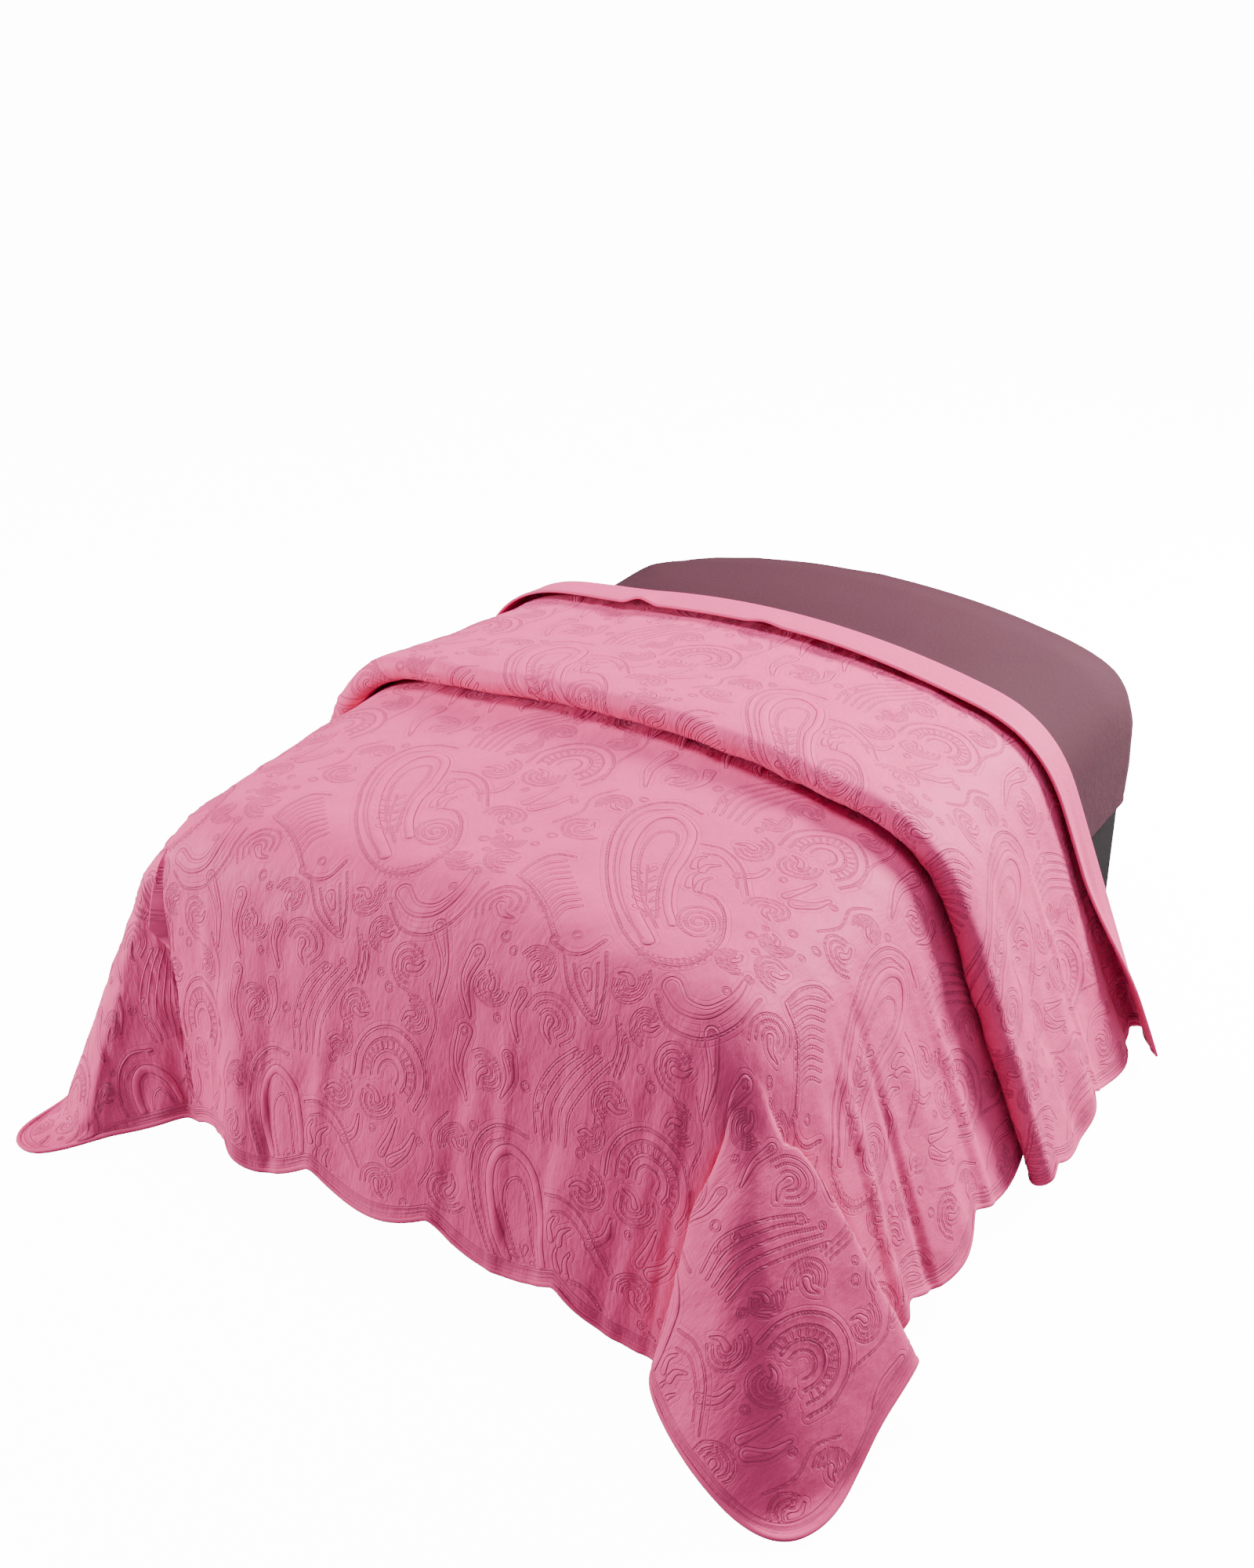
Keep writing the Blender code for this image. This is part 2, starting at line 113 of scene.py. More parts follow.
def periodic_noise(shape: tuple[int, int], sizes: tuple[float, float], seed: int) -> Array:
    """Smooth noise that repeats without a seam.

    Args:
        shape: Rows and columns.
        sizes: Widths of the softening along rows and columns, in samples.
        seed: Start of the random numbers.

    Returns:
        The noise, with a mean of 0 and a deviation of 1.
    """
    random = np.random.default_rng(seed).standard_normal(shape)
    along = np.fft.fftfreq(shape[0])[:, None]
    across = np.fft.fftfreq(shape[1])[None, :]
    keep = np.exp(-2 * pi**2 * ((along * sizes[0]) ** 2 + (across * sizes[1]) ** 2))
    noise = np.real(np.fft.ifft2(np.fft.fft2(random) * keep))
    return (noise - noise.mean()) / noise.std()


def sample(grid: Array, column: Array, row: Array) -> Array:
    """Values of a repeating grid between its samples."""
    rows, columns = grid.shape
    c0, r0 = np.floor(column).astype(int), np.floor(row).astype(int)
    fc, fr = column - c0, row - r0
    c0, r0, c1, r1 = c0 % columns, r0 % rows, (c0 + 1) % columns, (r0 + 1) % rows
    top = grid[r0, c0] * (1 - fc) + grid[r0, c1] * fc
    return top * (1 - fr) + (grid[r1, c0] * (1 - fc) + grid[r1, c1] * fc) * fr


@dataclass(frozen=True)
class Finish:
    """How a material takes the light."""

    name: str
    colour: tuple[float, float, float]
    roughness: float
    sheen: float = 0.0


class Finishes(Enum):
    """Finishes of the pieces."""

    FACE = Finish("quilted_face", (0.80, 0.070, 0.245), 0.62, 0.05)
    BACK = Finish("plain_back", (0.74, 0.066, 0.225), 0.70, 0.05)
    BINDING = Finish("hem_binding", (0.72, 0.062, 0.215), 0.66, 0.05)
    # Painted shade: the sheet's colour is darkened to stand for the shade that the shams at the head end,
    # which are not built, cast on it.
    SHEET = Finish("fitted_sheet", (0.070, 0.019, 0.031), 0.85)
    BASE = Finish("near_black_base", (0.012, 0.009, 0.010), 0.90)
    FLOOR = Finish("pale_floor", (0.50, 0.45, 0.47), 0.9)


@dataclass(frozen=True)
class Bed:
    """Sizes of the bed and of the edge that the cloth falls over, as in the solids."""

    mattress_width: float = 1.52
    mattress_length: float = 2.03
    mattress_bottom: float = 0.33
    mattress_corner: float = 0.10
    mattress_edge_drop: float = 0.035
    seat_gap: float = 0.0003
    rest_gap: float = 0.0006
    edge_height: float = 0.735
    edge_half_width: float = 0.714
    edge_foot: float = 1.015
    bend: float = 0.18
    crown_slope: float = 0.238
    foot_crown_share: float = 0.6
    foot_crown_fade: float = 0.75
    side_lean: float = 22.0
    foot_lean: float = 13.0
    floor_clearance: float = 0.006
    floor_curl: float = 0.04


@dataclass(frozen=True)
class Cloth:
    """Sizes of the bedspread, as in the solid."""

    thickness: float = 0.004
    side_fall: float = 0.715
    foot_fall: float = 0.667
    band_extra_fall: float = 0.055
    scallop_pitch: float = 0.31
    scallop_depth: float = 0.062
    scallop_shift: float = -0.045
    back_fold: float = -0.150
    cuff_length: float = 0.10
    cuff_lift: float = 0.045
    # side, where the lift starts, its width, its share
    cuff_ends: tuple = ((1, 1.02, 0.36, 1.0), (-1, 1.10, 0.30, 0.5))
    # place across, half width, share
    cuff_bumps: tuple = ((-0.33, 0.055, 0.34), (0.02, 0.060, 0.16))
    # share everywhere, share of the waves, how close they are
    cuff_waves: tuple = (0.13, 0.05, 9.0)
    left_foot_pull: float = 0.19
    left_foot_tuck: float = 0.10
    left_pull_from: float = 0.20
    left_tuck_from: float = 0.45
    left_foot_rise: float = 0.055
    loft_u: float = -0.72
    loft_half: float = 0.40
    # cloth length, heading at its end in degrees: 0 to the head, 90 outwards, 180 to the foot
    fold_runs: tuple = (
        (0.025, 180), (0.120, 180), (0.085, 0), (0.100, -12), (0.160, -7), (0.420, 0), (0.034, 180),
        (0.100, 183),
    )
    # angle on the flat cloth, compass angle and lean of the fall line
    right_corner: tuple = (
        (0, 0, 22), (9, -7, 33), (24, 21, 31), (40, 50, 34), (50, 66, 32.5), (66, 97, 24.5), (82, 85, 7),
        (90, 90, 13),
    )
    left_corner: tuple = (
        (0, 0, 22), (10, -12, 17), (24, 26, 21.5), (30, 34, 22), (36, 42, 22.5), (42, 50, 21.5),
        (48, 60, 20), (54, 62, 18.5), (60, 67, 16), (66, 83, 12), (72, 111, 11), (78, 137, 11),
        (84, 144, 12), (90, 147, 13),
    )
    # angle on the flat cloth, length of the fall
    right_reach: tuple = (
        (0, 0.715), (9, 0.645), (24, 0.728), (34, 0.850), (41, 0.875), (50, 0.770), (58, 0.700),
        (66, 0.620), (82, 0.610), (90, 0.646),
    )
    left_reach: tuple = (
        (0, 0.715), (10, 0.710), (24, 0.715), (30, 0.767), (36, 0.830), (42, 0.870), (48, 0.852),
        (54, 0.775), (60, 0.705), (66, 0.680), (72, 0.641), (78, 0.612), (84, 0.611), (90, 0.610),
    )
    reach_rounding: float = 3.0
    right_rounding: float = 3.2
    left_rounding: float = 2.6
    # angle and distance in which the fan takes over from the plain corner
    right_blend: Point = (20, 0.32)
    left_blend: Point = (8, 0.13)
    # distance along the bed, height
    left_loft: tuple = ((-0.95, 0.0), (-0.50, 0.025), (0.10, 0.045), (0.42, 0.035))
    # side (1 right, -1 left, 0 foot), place along it, half width, height
    swells: tuple = (
        (1, -0.62, 0.16, 0.020), (1, 0.02, 0.10, 0.022), (1, 0.26, 0.11, 0.018), (-1, -0.70, 0.17, 0.022),
        (-1, -0.25, 0.13, 0.018), (-1, 0.22, 0.12, 0.022), (0, -0.46, 0.15, 0.018),
        (0, 0.02, 0.17, 0.014), (0, 0.44, 0.13, 0.018),
    )
    # side, place along it at the hem, drift of the crease towards its top, half width, height
    creases: tuple = (
        (0, -0.60, 0.05, 0.030, 0.0036), (0, -0.33, -0.06, 0.036, -0.0028),
        (0, -0.20, 0.03, 0.028, 0.0028), (0, 0.14, 0.04, 0.034, -0.0028), (0, 0.27, -0.03, 0.026, 0.0032),
        (0, 0.36, 0.02, 0.024, -0.0024), (0, 0.55, 0.06, 0.030, 0.0040), (0, 0.63, 0.03, 0.022, -0.0032),
        (1, -0.86, 0.08, 0.032, 0.010), (1, -0.74, 0.05, 0.026, -0.008), (1, -0.45, 0.02, 0.036, 0.008),
        (1, 0.10, -0.03, 0.030, 0.008), (1, 0.33, 0.02, 0.026, -0.007), (-1, -0.84, 0.04, 0.034, 0.010),
        (-1, -0.55, -0.05, 0.030, -0.008), (-1, -0.40, 0.03, 0.028, 0.008),
        (-1, 0.05, 0.03, 0.030, 0.008), (-1, 0.34, -0.03, 0.028, -0.007),
    )


class Section:
    """A section through the resting cloth, from the middle of the top over the edge and down."""

    STEP = 0.004

    def __init__(self, bed: Bed, crown: float, edge: float, lean: float) -> None:
        self.edge, self.lean, self.bend = edge, radians(lean), bed.bend
        self.arc = np.arange(0, 2.6, self.STEP)
        inner = edge - bed.bend
        slope = crown * np.minimum(self.arc / inner, 1)
        slope = slope + (pi / 2 - self.lean - crown) * smooth((self.arc - inner) / (2 * bed.bend))
        self.outward = self._running(np.cos(slope))
        self.drop = self._running(np.sin(slope))
        self.rise = float(np.interp(edge, self.arc, self.drop))

    def _running(self, values: Array) -> Array:
        """Integral of the samples from the first one."""
        return np.concatenate([[0.0], np.cumsum((values[1:] + values[:-1]) / 2 * self.STEP)])

    def run(self, s: Array | float) -> Array:
        """Distance out for a length of cloth."""
        return np.interp(s, self.arc, self.outward)

    def fall(self, s: Array | float) -> Array:
        """Drop for a length of cloth."""
        return np.interp(s, self.arc, self.drop)

    def arc_at(self, outward: Array | float) -> Array:
        """Length of cloth for a distance out."""
        return np.interp(outward, self.outward, self.arc)

    def apex(self) -> tuple[float, float]:
        """Where the straight fall would start if the edge were sharp."""
        back = 2 * self.bend
        far = self.edge + back
        return self.run(far) - back * np.sin(self.lean), self.fall(far) - back * np.cos(self.lean)


class Drape:
    """Places of the cloth on the bed, from its flat coordinates."""

    def __init__(self, bed: Bed, cloth: Cloth) -> None:
        self.bed, self.cloth = bed, cloth
        self.full = Section(bed, bed.crown_slope, bed.edge_half_width, bed.side_lean)
        self.low = Section(bed, bed.crown_slope * bed.foot_crown_share, bed.edge_half_width, bed.side_lean)
        self.foot = Section(bed, 0, bed.edge_foot, bed.foot_lean)
        self.ways = {
            1: self._fall_directions(cloth.right_corner, cloth.right_rounding),
            -1: self._fall_directions(cloth.left_corner, cloth.left_rounding),
        }
        self.fold_arc, self.fold_along, self.fold_out = self._fold_path()
        self.end = cloth.back_fold + sum(run for run, _ in cloth.fold_runs)

    def top_height(self, across: Array, plan: bool, y: Array) -> Array:
        """Height of the resting cloth.

        Args:
            across: Distance from the middle, on the plan or along the cloth.
            plan: Whether across and y are measured on the plan.
            y: Distance along the bed.

        Returns:
            Height over the floor.
        """
        bed, low, full, foot = self.bed, self.low, self.full, self.foot
        share = smooth((y + bed.edge_foot - bed.bend) / bed.foot_crown_fade)
        low_fall = low.rise - low.fall(low.arc_at(across) if plan else across)
        full_fall = full.rise - full.fall(full.arc_at(across) if plan else across)
        down = np.maximum(-y, 0)
        end_fall = foot.fall(foot.arc_at(down) if plan else down)
        return bed.edge_height + mix(low_fall, full_fall, share) - end_fall

    def _fall_directions(self, knots: tuple, rounding: float) -> Array:
        """Unit directions of a corner's fall lines every half degree, its folds rounded."""
        degrees = np.arange(-15, 105.01, 0.5)
        at, compass, lean = np.array(knots, float).T
        compass, lean = np.radians(compass), np.radians(lean)
        ways = (np.cos(compass) * np.sin(lean), -np.sin(compass) * np.sin(lean), -np.cos(lean))
        sharp = np.stack([np.interp(degrees, at, way) for way in ways], 1)
        kernel = np.exp(-((np.arange(-14, 14.01, 0.5) / rounding) ** 2) / 2)
        kernel /= kernel.sum()
        soft = np.stack([np.convolve(sharp[:, i], kernel, "same") for i in range(3)], 1)
        inside = smooth(np.minimum(degrees, 90 - degrees) / 7)[:, None]
        way = mix(sharp, soft, inside)[(degrees >= 0) & (degrees <= 90)]
        return way / np.linalg.norm(way, axis=1)[:, None]

    def _corner_fall(self, rho: Array, phi: Array, side: Array) -> Array:
        """Cloth that hangs from a corner of the foot, in the right corner's coordinates."""
        bed = self.bed
        side_run, side_drop = self.low.apex()
        foot_run, foot_drop = self.foot.apex()
        edge_fall = self.foot.fall(bed.edge_foot)
        at_side = np.array([side_run, -self.foot.run(bed.edge_foot), -side_drop + self.low.rise - edge_fall])
        at_foot = np.array([self.low.run(bed.edge_half_width), -foot_run, -foot_drop])
        apex = mix(at_side, at_foot, smooth(phi / (pi / 2))[:, None]) + [0, 0, bed.edge_height]
        place = np.clip(np.degrees(phi) / 0.5, 0, 179.999)
        first = place.astype(int)
        part = (place - first)[:, None]
        ways = {key: mix(table[first], table[first + 1], part) for key, table in self.ways.items()}
        way = np.where(side[:, None] > 0, ways[1], ways[-1])
        point = apex + rho[:, None] * way
        low = np.maximum(0, bed.floor_clearance + self.cloth.thickness / 2 + bed.floor_curl - point[:, 2])
        lift = low - bed.floor_curl * (1 - np.exp(-low / bed.floor_curl))
        level = np.hypot(way[:, 0], way[:, 1])
        point[:, 2] += lift
        point[:, :2] += way[:, :2] / level[:, None] * (lift * (1 - level) / -way[:, 2])[:, None]
        return point

    def _outer(self, across: Array | float, start: float) -> Array:
        """How far a place is from start to the bed's edge, from 0 to 1."""
        return smooth((across - start) / (self.bed.edge_half_width - start))

    def resting(self, u: Array, y: Array) -> Array:
        """Points of the plain resting cloth for flat places across it and along the bed."""
        bed, cloth = self.bed, self.cloth
        side = np.where(u < 0, -1.0, 1.0)
        across, down = np.abs(u), np.maximum(-y, 0)
        full = smooth((y + bed.edge_foot - bed.bend) / bed.foot_crown_fade)
        past_foot = np.maximum(down - bed.edge_foot, 0) * (across <= bed.edge_half_width)
        pull = np.where(u < 0, cloth.left_foot_pull, 0) * self._outer(across, cloth.left_pull_from)
        x = mix(self.low.run(across), self.full.run(across), full) - pull * past_foot
        tuck = np.where(u < 0, cloth.left_foot_tuck, 0) * self._outer(across, cloth.left_tuck_from)
        length = np.where(y < 0, tuck * past_foot - self.foot.run(down), y)
        point = np.stack([x, length, self.top_height(across, False, y)], -1)
        beyond_side, beyond_foot = across - bed.edge_half_width, down - bed.edge_foot
        corner = (beyond_side > 0) & (beyond_foot > 0)
        rho = np.hypot(beyond_side, beyond_foot)[corner]
        phi = np.arctan2(beyond_foot, beyond_side)[corner]
        hanging = self._corner_fall(rho, phi, side[corner])
        blends = zip(cloth.right_blend, cloth.left_blend)
        angle, distance = (np.where(side[corner] > 0, right, left) for right, left in blends)
        near = np.minimum(phi, pi / 2 - phi) / np.radians(angle)
        inside = smooth(near + np.maximum(0, (rho - bed.bend) / 0.06)) * smooth(rho / distance)
        point[corner] = mix(point[corner], hanging, inside[:, None])
        point[..., 0] *= side
        return point

    def _fold_path(self) -> tuple[Array, Array, Array]:
        """Samples of the tuck: cloth length, place along the bed, and distance out from the cloth below."""
        step = 0.001
        length, heading = [0.0], [0.0]
        for run, turned_to in self.cloth.fold_runs:
            length.append(length[-1] + run)
            heading.append(turned_to)
        arc = np.arange(0, length[-1] + 4 * step, step)
        angle = np.radians(np.interp(arc, length, heading))
        along = self.cloth.back_fold + np.concatenate([[0], np.cumsum(np.cos(angle[:-1]) * step)])
        out = np.concatenate([[0], np.cumsum(np.sin(angle[:-1]) * step)])
        return arc, along, out

    def folded(self, v: Array) -> tuple[Array, Array]:
        """Distance along the bed and out from it, for places along the cloth."""
        past = v - self.cloth.back_fold
        along = np.where(past < 0, v, np.interp(past, self.fold_arc, self.fold_along))
        return along, np.interp(past, self.fold_arc, self.fold_out, left=0)

    def swell(self, u: Array, along: Array) -> Array:
        """Soft outward folds and narrow creases of the hanging cloth, growing towards its hem."""
        bed, cloth = self.bed, self.cloth
        falls = {
            side: np.clip((u * side - bed.edge_half_width) / cloth.side_fall, 0, 1) * (along > -bed.edge_foot)
            for side in (1, -1)
        }
        foot_fall = np.clip((-along - bed.edge_foot) / cloth.foot_fall, 0, 1)
        falls[0] = foot_fall * (np.abs(u) < bed.edge_half_width)
        out = np.zeros_like(u)
        for side, place, half_width, height in cloth.swells:
            across = (along if side else u) - place
            out += height * falls[side] ** 1.2 * smooth(1 - np.abs(across) / half_width)
        for side, place, drift, half_width, height in cloth.creases:
            across = (along if side else u) - place - drift * (1 - falls[side])
            out += height * smooth(falls[side] * 1.6) * smooth(1 - np.abs(across) / half_width)
        return out

    def loft(self, u: Array, along: Array) -> Array:
        """Extra height of every layer over the bed's left edge."""
        place, height = zip(*self.cloth.left_loft)
        near = smooth(1 - np.abs(u - self.cloth.loft_u) / self.cloth.loft_half)
        return np.interp(along, place, height) * near

    def cuff_lift(self, u: Array, v: Array) -> Array:
        """How far the turned-back head edge stands off, most of all at its right end."""
        cloth = self.cloth
        free = smooth((v - (self.end - cloth.cuff_length)) / cloth.cuff_length)
        level, swing, rate = cloth.cuff_waves
        share = level + swing * np.sin(u * rate)
        for side, start, width, size in cloth.cuff_ends:
            share += size * smooth((u * side - start) / width)
        for place, half_width, size in cloth.cuff_bumps:
            share += size * smooth(1 - np.abs(u - place) / half_width)
        return cloth.cuff_lift * free * share

    def point(self, u: Array, v: Array) -> Array:
        """Points of the cloth's middle surface."""
        along, out = self.folded(v)
        out = out + self.swell(u, along) + self.loft(u, along) + self.cuff_lift(u, v)
        tiny = 0.002
        middle = self.resting(u, along)
        du = self.resting(u + tiny, along) - self.resting(u - tiny, along)
        dv = self.resting(u, along + tiny) - self.resting(u, along - tiny)
        normal = np.cross(du, dv)
        normal /= np.linalg.norm(normal, axis=-1)[..., None]
        return middle + normal * out[..., None]

    def scallop(self, s: Array | float) -> Array:
        """Lobes of the hem with narrow notches, from -0.5 in the notches to 0.5 on the lobes."""
        wave = np.abs(np.cos(pi * (s - self.cloth.scallop_shift) / self.cloth.scallop_pitch))
        return (wave**2 + 0.02) ** 0.3 - 0.5

    def side_reach(self, v: Array | float) -> Array:
        """Length of the fall at the sides."""
        extra = self.cloth.band_extra_fall * smooth((v - self.cloth.back_fold - 0.05) / 0.2)
        return self.cloth.side_fall + extra + self.cloth.scallop_depth * (self.scallop(v) - 0.1)

    def foot_reach(self, u: Array | float) -> Array:
        """Length of the fall at the foot."""
        rise = self.cloth.left_foot_rise * self._outer(-u, self.cloth.left_tuck_from)
        return self.cloth.foot_fall - rise + self.cloth.scallop_depth * (self.scallop(u) - 0.1)

    def corner_reach(self, degrees: Array, table: tuple, edge_u: float) -> Array:
        """Length of the fall in a corner's fan, which meets the hems beside it.

        Args:
            degrees: Angles on the flat cloth from the side.
            table: The corner's angles and lengths.
            edge_u: Where the foot's hem ends.

        Returns:
            Lengths from the corner of the top to the hem.
        """
        at, length = np.array(table, float).T
        fine = np.arange(-12, 102.01, 0.5)
        kernel = np.exp(-((np.arange(-12, 12.01, 0.5) / self.cloth.reach_rounding) ** 2) / 2)
        soft = np.convolve(np.interp(fine, at, length), kernel / kernel.sum(), "same")
        side_miss = self.side_reach(-self.bed.edge_foot) - np.interp(0, fine, soft)
        foot_miss = self.foot_reach(edge_u) - np.interp(90, fine, soft)
        fade = smooth(degrees / 90)
        near_side, near_foot = smooth(1 - degrees / 25), smooth(1 - (90 - degrees) / 25)
        plain = np.interp(degrees, fine, soft)
        return plain + side_miss * near_side * (1 - fade) + foot_miss * near_foot * fade


class Quilting:
    """One repeat of paisleys, leaves and rings, drawn as signed distances on a grid in memory.

    The motifs are listed in millimetres.
    """

    WIDTH, LENGTH, PIXEL = 0.60, 0.90, 0.0015
    FIRST: Point = (-0.215, -0.79)
    SLANT = 0.05
    TURN = 33.0

    def __init__(self) -> None:
        self.columns, self.rows = round(self.WIDTH / self.PIXEL), round(self.LENGTH / self.PIXEL)
        self.du, self.dv = self.WIDTH / self.columns, self.LENGTH / self.rows
        self.fields = {name: np.full((self.rows, self.columns), -0.02) for name in FIELDS}
        self.fields["stipple"][:] = 0
        for draw in (self._paisley, self._fan, self._leaves, self._arches, self._drops, self._curls):
            draw()
        fine = periodic_noise((self.rows, self.columns), (5.0, 1.6), SEED)
        broad = periodic_noise((self.rows, self.columns), (16.0, 4.0), SEED + 1)
        self.fields["crinkle"] = 0.6 * fine + 0.4 * broad

    def _spot(self, at: Point, turn: float, wide: float = 1.0, tall: float = 1.0) -> None:
        """Sets where the next motif goes, how far it is turned, and how wide and tall it is drawn."""
        cosine, sine = np.cos(radians(turn)), np.sin(radians(turn))
        self.move = np.array(at) / 1000
        self.frame = np.array([[wide * cosine, wide * sine], [-tall * sine, tall * cosine]]) / 1000

    def _dab(self, name: str, at: Array, radius: float) -> None:
        """Adds one round spot to a field."""
        field = self.fields[name]
        reach = radius + 0.02
        columns = np.arange(int((at[0] - reach) / self.du), int((at[0] + reach) / self.du) + 2)
        rows = np.arange(int((at[1] - reach) / self.dv), int((at[1] + reach) / self.dv) + 2)
        far = np.hypot(columns[None, :] * self.du - at[0], rows[:, None] * self.dv - at[1])
        place = np.ix_(rows % self.rows, columns % self.columns)
        field[place] = np.maximum(field[place], radius - far)

    def _stroke(self, name: str, start: float, end: float, *points: Point | Array,
                closed: bool = False) -> None:
        """Sweeps a round spot along a curve.

        Args:
            name: Field that it is drawn in.
            start: Half the width at the start.
            end: Half the width at the end.
            points: Points that the curve passes.
            closed: Whether the curve is a loop.
        """
        path = curve(points, 2.5, closed) @ self.frame + self.move
        for at, size in zip(path, np.linspace(start, end, len(path)) / 1000):
            self._dab(name, at, size)

    def _draw(self, name: str, *strokes: tuple) -> None:
        """Draws strokes in one field, each given as two half widths and its points."""
        for stroke in strokes:
            self._stroke(name, *stroke)

    def _ring(self, at: Point, radius: float, line: float = 2) -> None:
        """A small stitched ring."""
        self._stroke("rib", line, line, *(at + radius * circle_points(0, 315, 8)), closed=True)

    def _paisley(self) -> None:
        """The large looped paisley with its ribbon, stippled oval, vine, spiral and ladder."""
        self._spot((0, 0), self.TURN, 0.66, 1.10)
        self._draw(
            "ribbon",
            (12, 8, (-50, -165), (-98, -50), (-105, 70), (-72, 165), (-10, 218), (60, 222), (100, 175),
             (75, 100), (30, 30), (10, -50), (20, -120)),
            (3, 3, (135, 235), (60, 268), (-30, 262), (-105, 215), (-150, 130), (-160, 20), (-140, -90),
             (-85, -180), (0, -222), (85, -215), (150, -165), (170, -90), (150, -35), (105, -15)),
            (2.6, 2.6, (125, 135), (190, 120), (236, 70), (245, -20)),
        )
        turns = np.linspace(0.6, 6.4 * pi, 60)
        reach = 4 + 10 * turns / pi
        spiral = np.stack([92 + 1.05 * reach * np.cos(turns), -110 - 0.85 * reach * np.sin(turns)], 1)
        self._draw(
            "rib",
            (2.6, 2.6, (-25, -130), (-62, -30), (-66, 60), (-40, 135), (5, 170), (50, 168), (50, 130),
             (10, 60), (-15, -20), (-22, -100)),
            (1.8, 1.8, (50, 245), (-30, 240), (-95, 190), (-130, 110), (-138, 20), (-118, -80), (-65, -160)),
            (1.8, 1.8, (-55, -100), (-50, -20), (-40, 60)),
            (2, 2, (130, 105), (180, 95), (212, 50), (218, 0)),
            (2.8, 2.8, *spiral),
        )
        self._draw("stipple", (20, 17, (-20, 130), (-30, 100)), (10, 6, (175, 20), (205, 40)))
        ladder = curve([(-80, -170), (-10, -205), (80, -200), (140, -150)], 17)
        ways = np.gradient(ladder, axis=0)
        ways /= np.linalg.norm(ways, axis=1)[:, None]
        for at, (way_u, way_v) in zip(ladder[1:-1], ways[1:-1]):
            out = np.array([way_v, -way_u])
            self._stroke("rib", 2, 2, at + 4 * out, at + 22 * out)
        for v in (-85, -55, -25, 5, 35):
            self._draw("shape", (5.8, 2.2, (-82, v + 14), (-60, v)), (5.8, 2.2, (-20, v + 16), (-42, v + 2)))
        tips = ((75, 0, 110, 45), (100, -10, 145, 30), (95, 60, 135, 95), (120, 50, 175, 70))
        for u, v, tip_u, tip_v in tips:
            middle = ((u + tip_u) / 2 - 8, (v + tip_v) / 2 + 6)
            self._stroke("shape", 7.5, 2.5, (u, v), middle, (tip_u, tip_v))

    def _fan(self) -> None:
        """The half leaf with parallel veins at the paisley's left."""
        self._spot((0, -20), self.TURN, 0.85, 1.0)
        self._draw(
            "ribbon",
            (4, 4, (-310, 45), (-272, -5), (-246, -60), (-230, -125)),
            (3, 3, (-310, 45), (-275, 90), (-228, 115), (-182, 108)),
            (3, 3, (-235, -140), (-200, -170), (-160, -175), (-118, -155)),
        )
        for t in np.linspace(0.06, 0.94, 9):
            start, end = np.array([(-302 + 70 * t, 50 - 160 * t), (-206 + 40 * t, 105 - 175 * t)])
            self._stroke("rib", 3, 3, start, (start + end) / 2 + (-4, 13), end)

    def _leaves(self) -> None:
        """The nested leaf and the bean under the paisley, and their echo lines."""
        self._spot((0, 0), self.TURN, 0.85, 1.0)
        for k in (0, 20):
            self._stroke("ribbon", 2.6, 2.6, (-225 + k, -190 - k), (-222 + k, -260), (-180, -325 + 0.7 * k),
                         (-138 - k, -260), (-130 - k, -200 - k))
        self._stroke("shape", 12, 7, (-180, -235), (-180, -260))
        self._spot((30, -20), self.TURN, 0.9, 0.9)
        self._stroke("shape", 18, 4, (-10, -285), (10, -330), (60, -350), (115, -320), (150, -260))
        self._stroke("ribbon", 2.6, 2.6, (-45, -300), (-30, -365), (40, -400), (120, -375), (175, -310))
        self._spot((200, 120), 0)
        self._draw("shape", (13, 4, (30, -10), (60, 20), (75, 60)), (9, 3, (5, 0), (20, 40), (30, 80)))

    def _arches(self) -> None:
        """Nested arches with a ladder, and the sheaf of long lines beside them."""
        self._spot((200, 290), -12, 0.85, 0.95)
        for radius, line in ((105, 3.0), (80, 2.4), (52, 3.2), (30, 2.2)):
            self._stroke("ribbon", line, line, *(radius * circle_points(-25, 205, 9)))
        for way in circle_points(-15, 195, 16):
            self._stroke("rib", 2, 2, 59 * way, 74 * way)
        self._stroke("stipple", 14, 10, (0, 5), (0, -10))
        self._spot((-10, 90), 0, 0.8, 0.8)
        for k in range(5):
            self._stroke("rib", 2.4, 2.4, (-50 + 22 * k, 240), (-65 + 26 * k, 330), (-30 + 28 * k, 420),
                         (30 + 24 * k, 490))
        self._spot((0, 0), 0)
        self._stroke("rib", 2.2, 2.2, (295, 270), (285, 350), (300, 430), (275, 500))
        self._stroke("rib", 2.2, 2.2, (-300, 80), (-275, 140), (-285, 200), (-255, 250))

    def _drops(self) -> None:
        """Long drops with a bent tip, a few echo lines, and scattered small rings."""
        self._spot((0, 0), 0)
        for radius, *points in (
            (16, (-232, -310), (-245, -370), (-228, -440)), (11, (-118, -355), (-130, -400), (-112, -450)),
            (15, (270, -285), (300, -350), (295, -430)), (16, (-235, 430), (-243, 360), (-215, 290)),
            (12, (-130, 415), (-120, 370), (-135, 325)), (10, (100, 115), (128, 140), (135, 180)),
        ):
            self._stroke("shape", radius, 3, *points)
            self._ring(points[0], radius * 0.45, 1.6)
        for k in (0, 12, 24):
            self._stroke("rib", 2, 2, (85 + k, -330 - k), (100 + k, -380), (90 + k, -440))
        for u, v, radius in (
            (175, 165, 7), (55, 285, 8), (-55, 335, 7), (-85, 365, 9), (-45, 375, 6), (215, -40, 9),
            (245, -75, 7), (225, 0, 6), (270, 30, 8), (-285, -10, 7), (-275, 35, 9), (-55, -215, 8),
            (-90, -240, 7), (-160, -285, 7), (-185, -265, 9), (-165, -420, 7), (275, -150, 8), (255, -200, 7),
            (20, -425, 8), (155, -405, 7), (180, -430, 9), (290, 170, 7), (-190, 245, 8), (60, -405, 6),
        ):
            self._ring((u, v), radius)

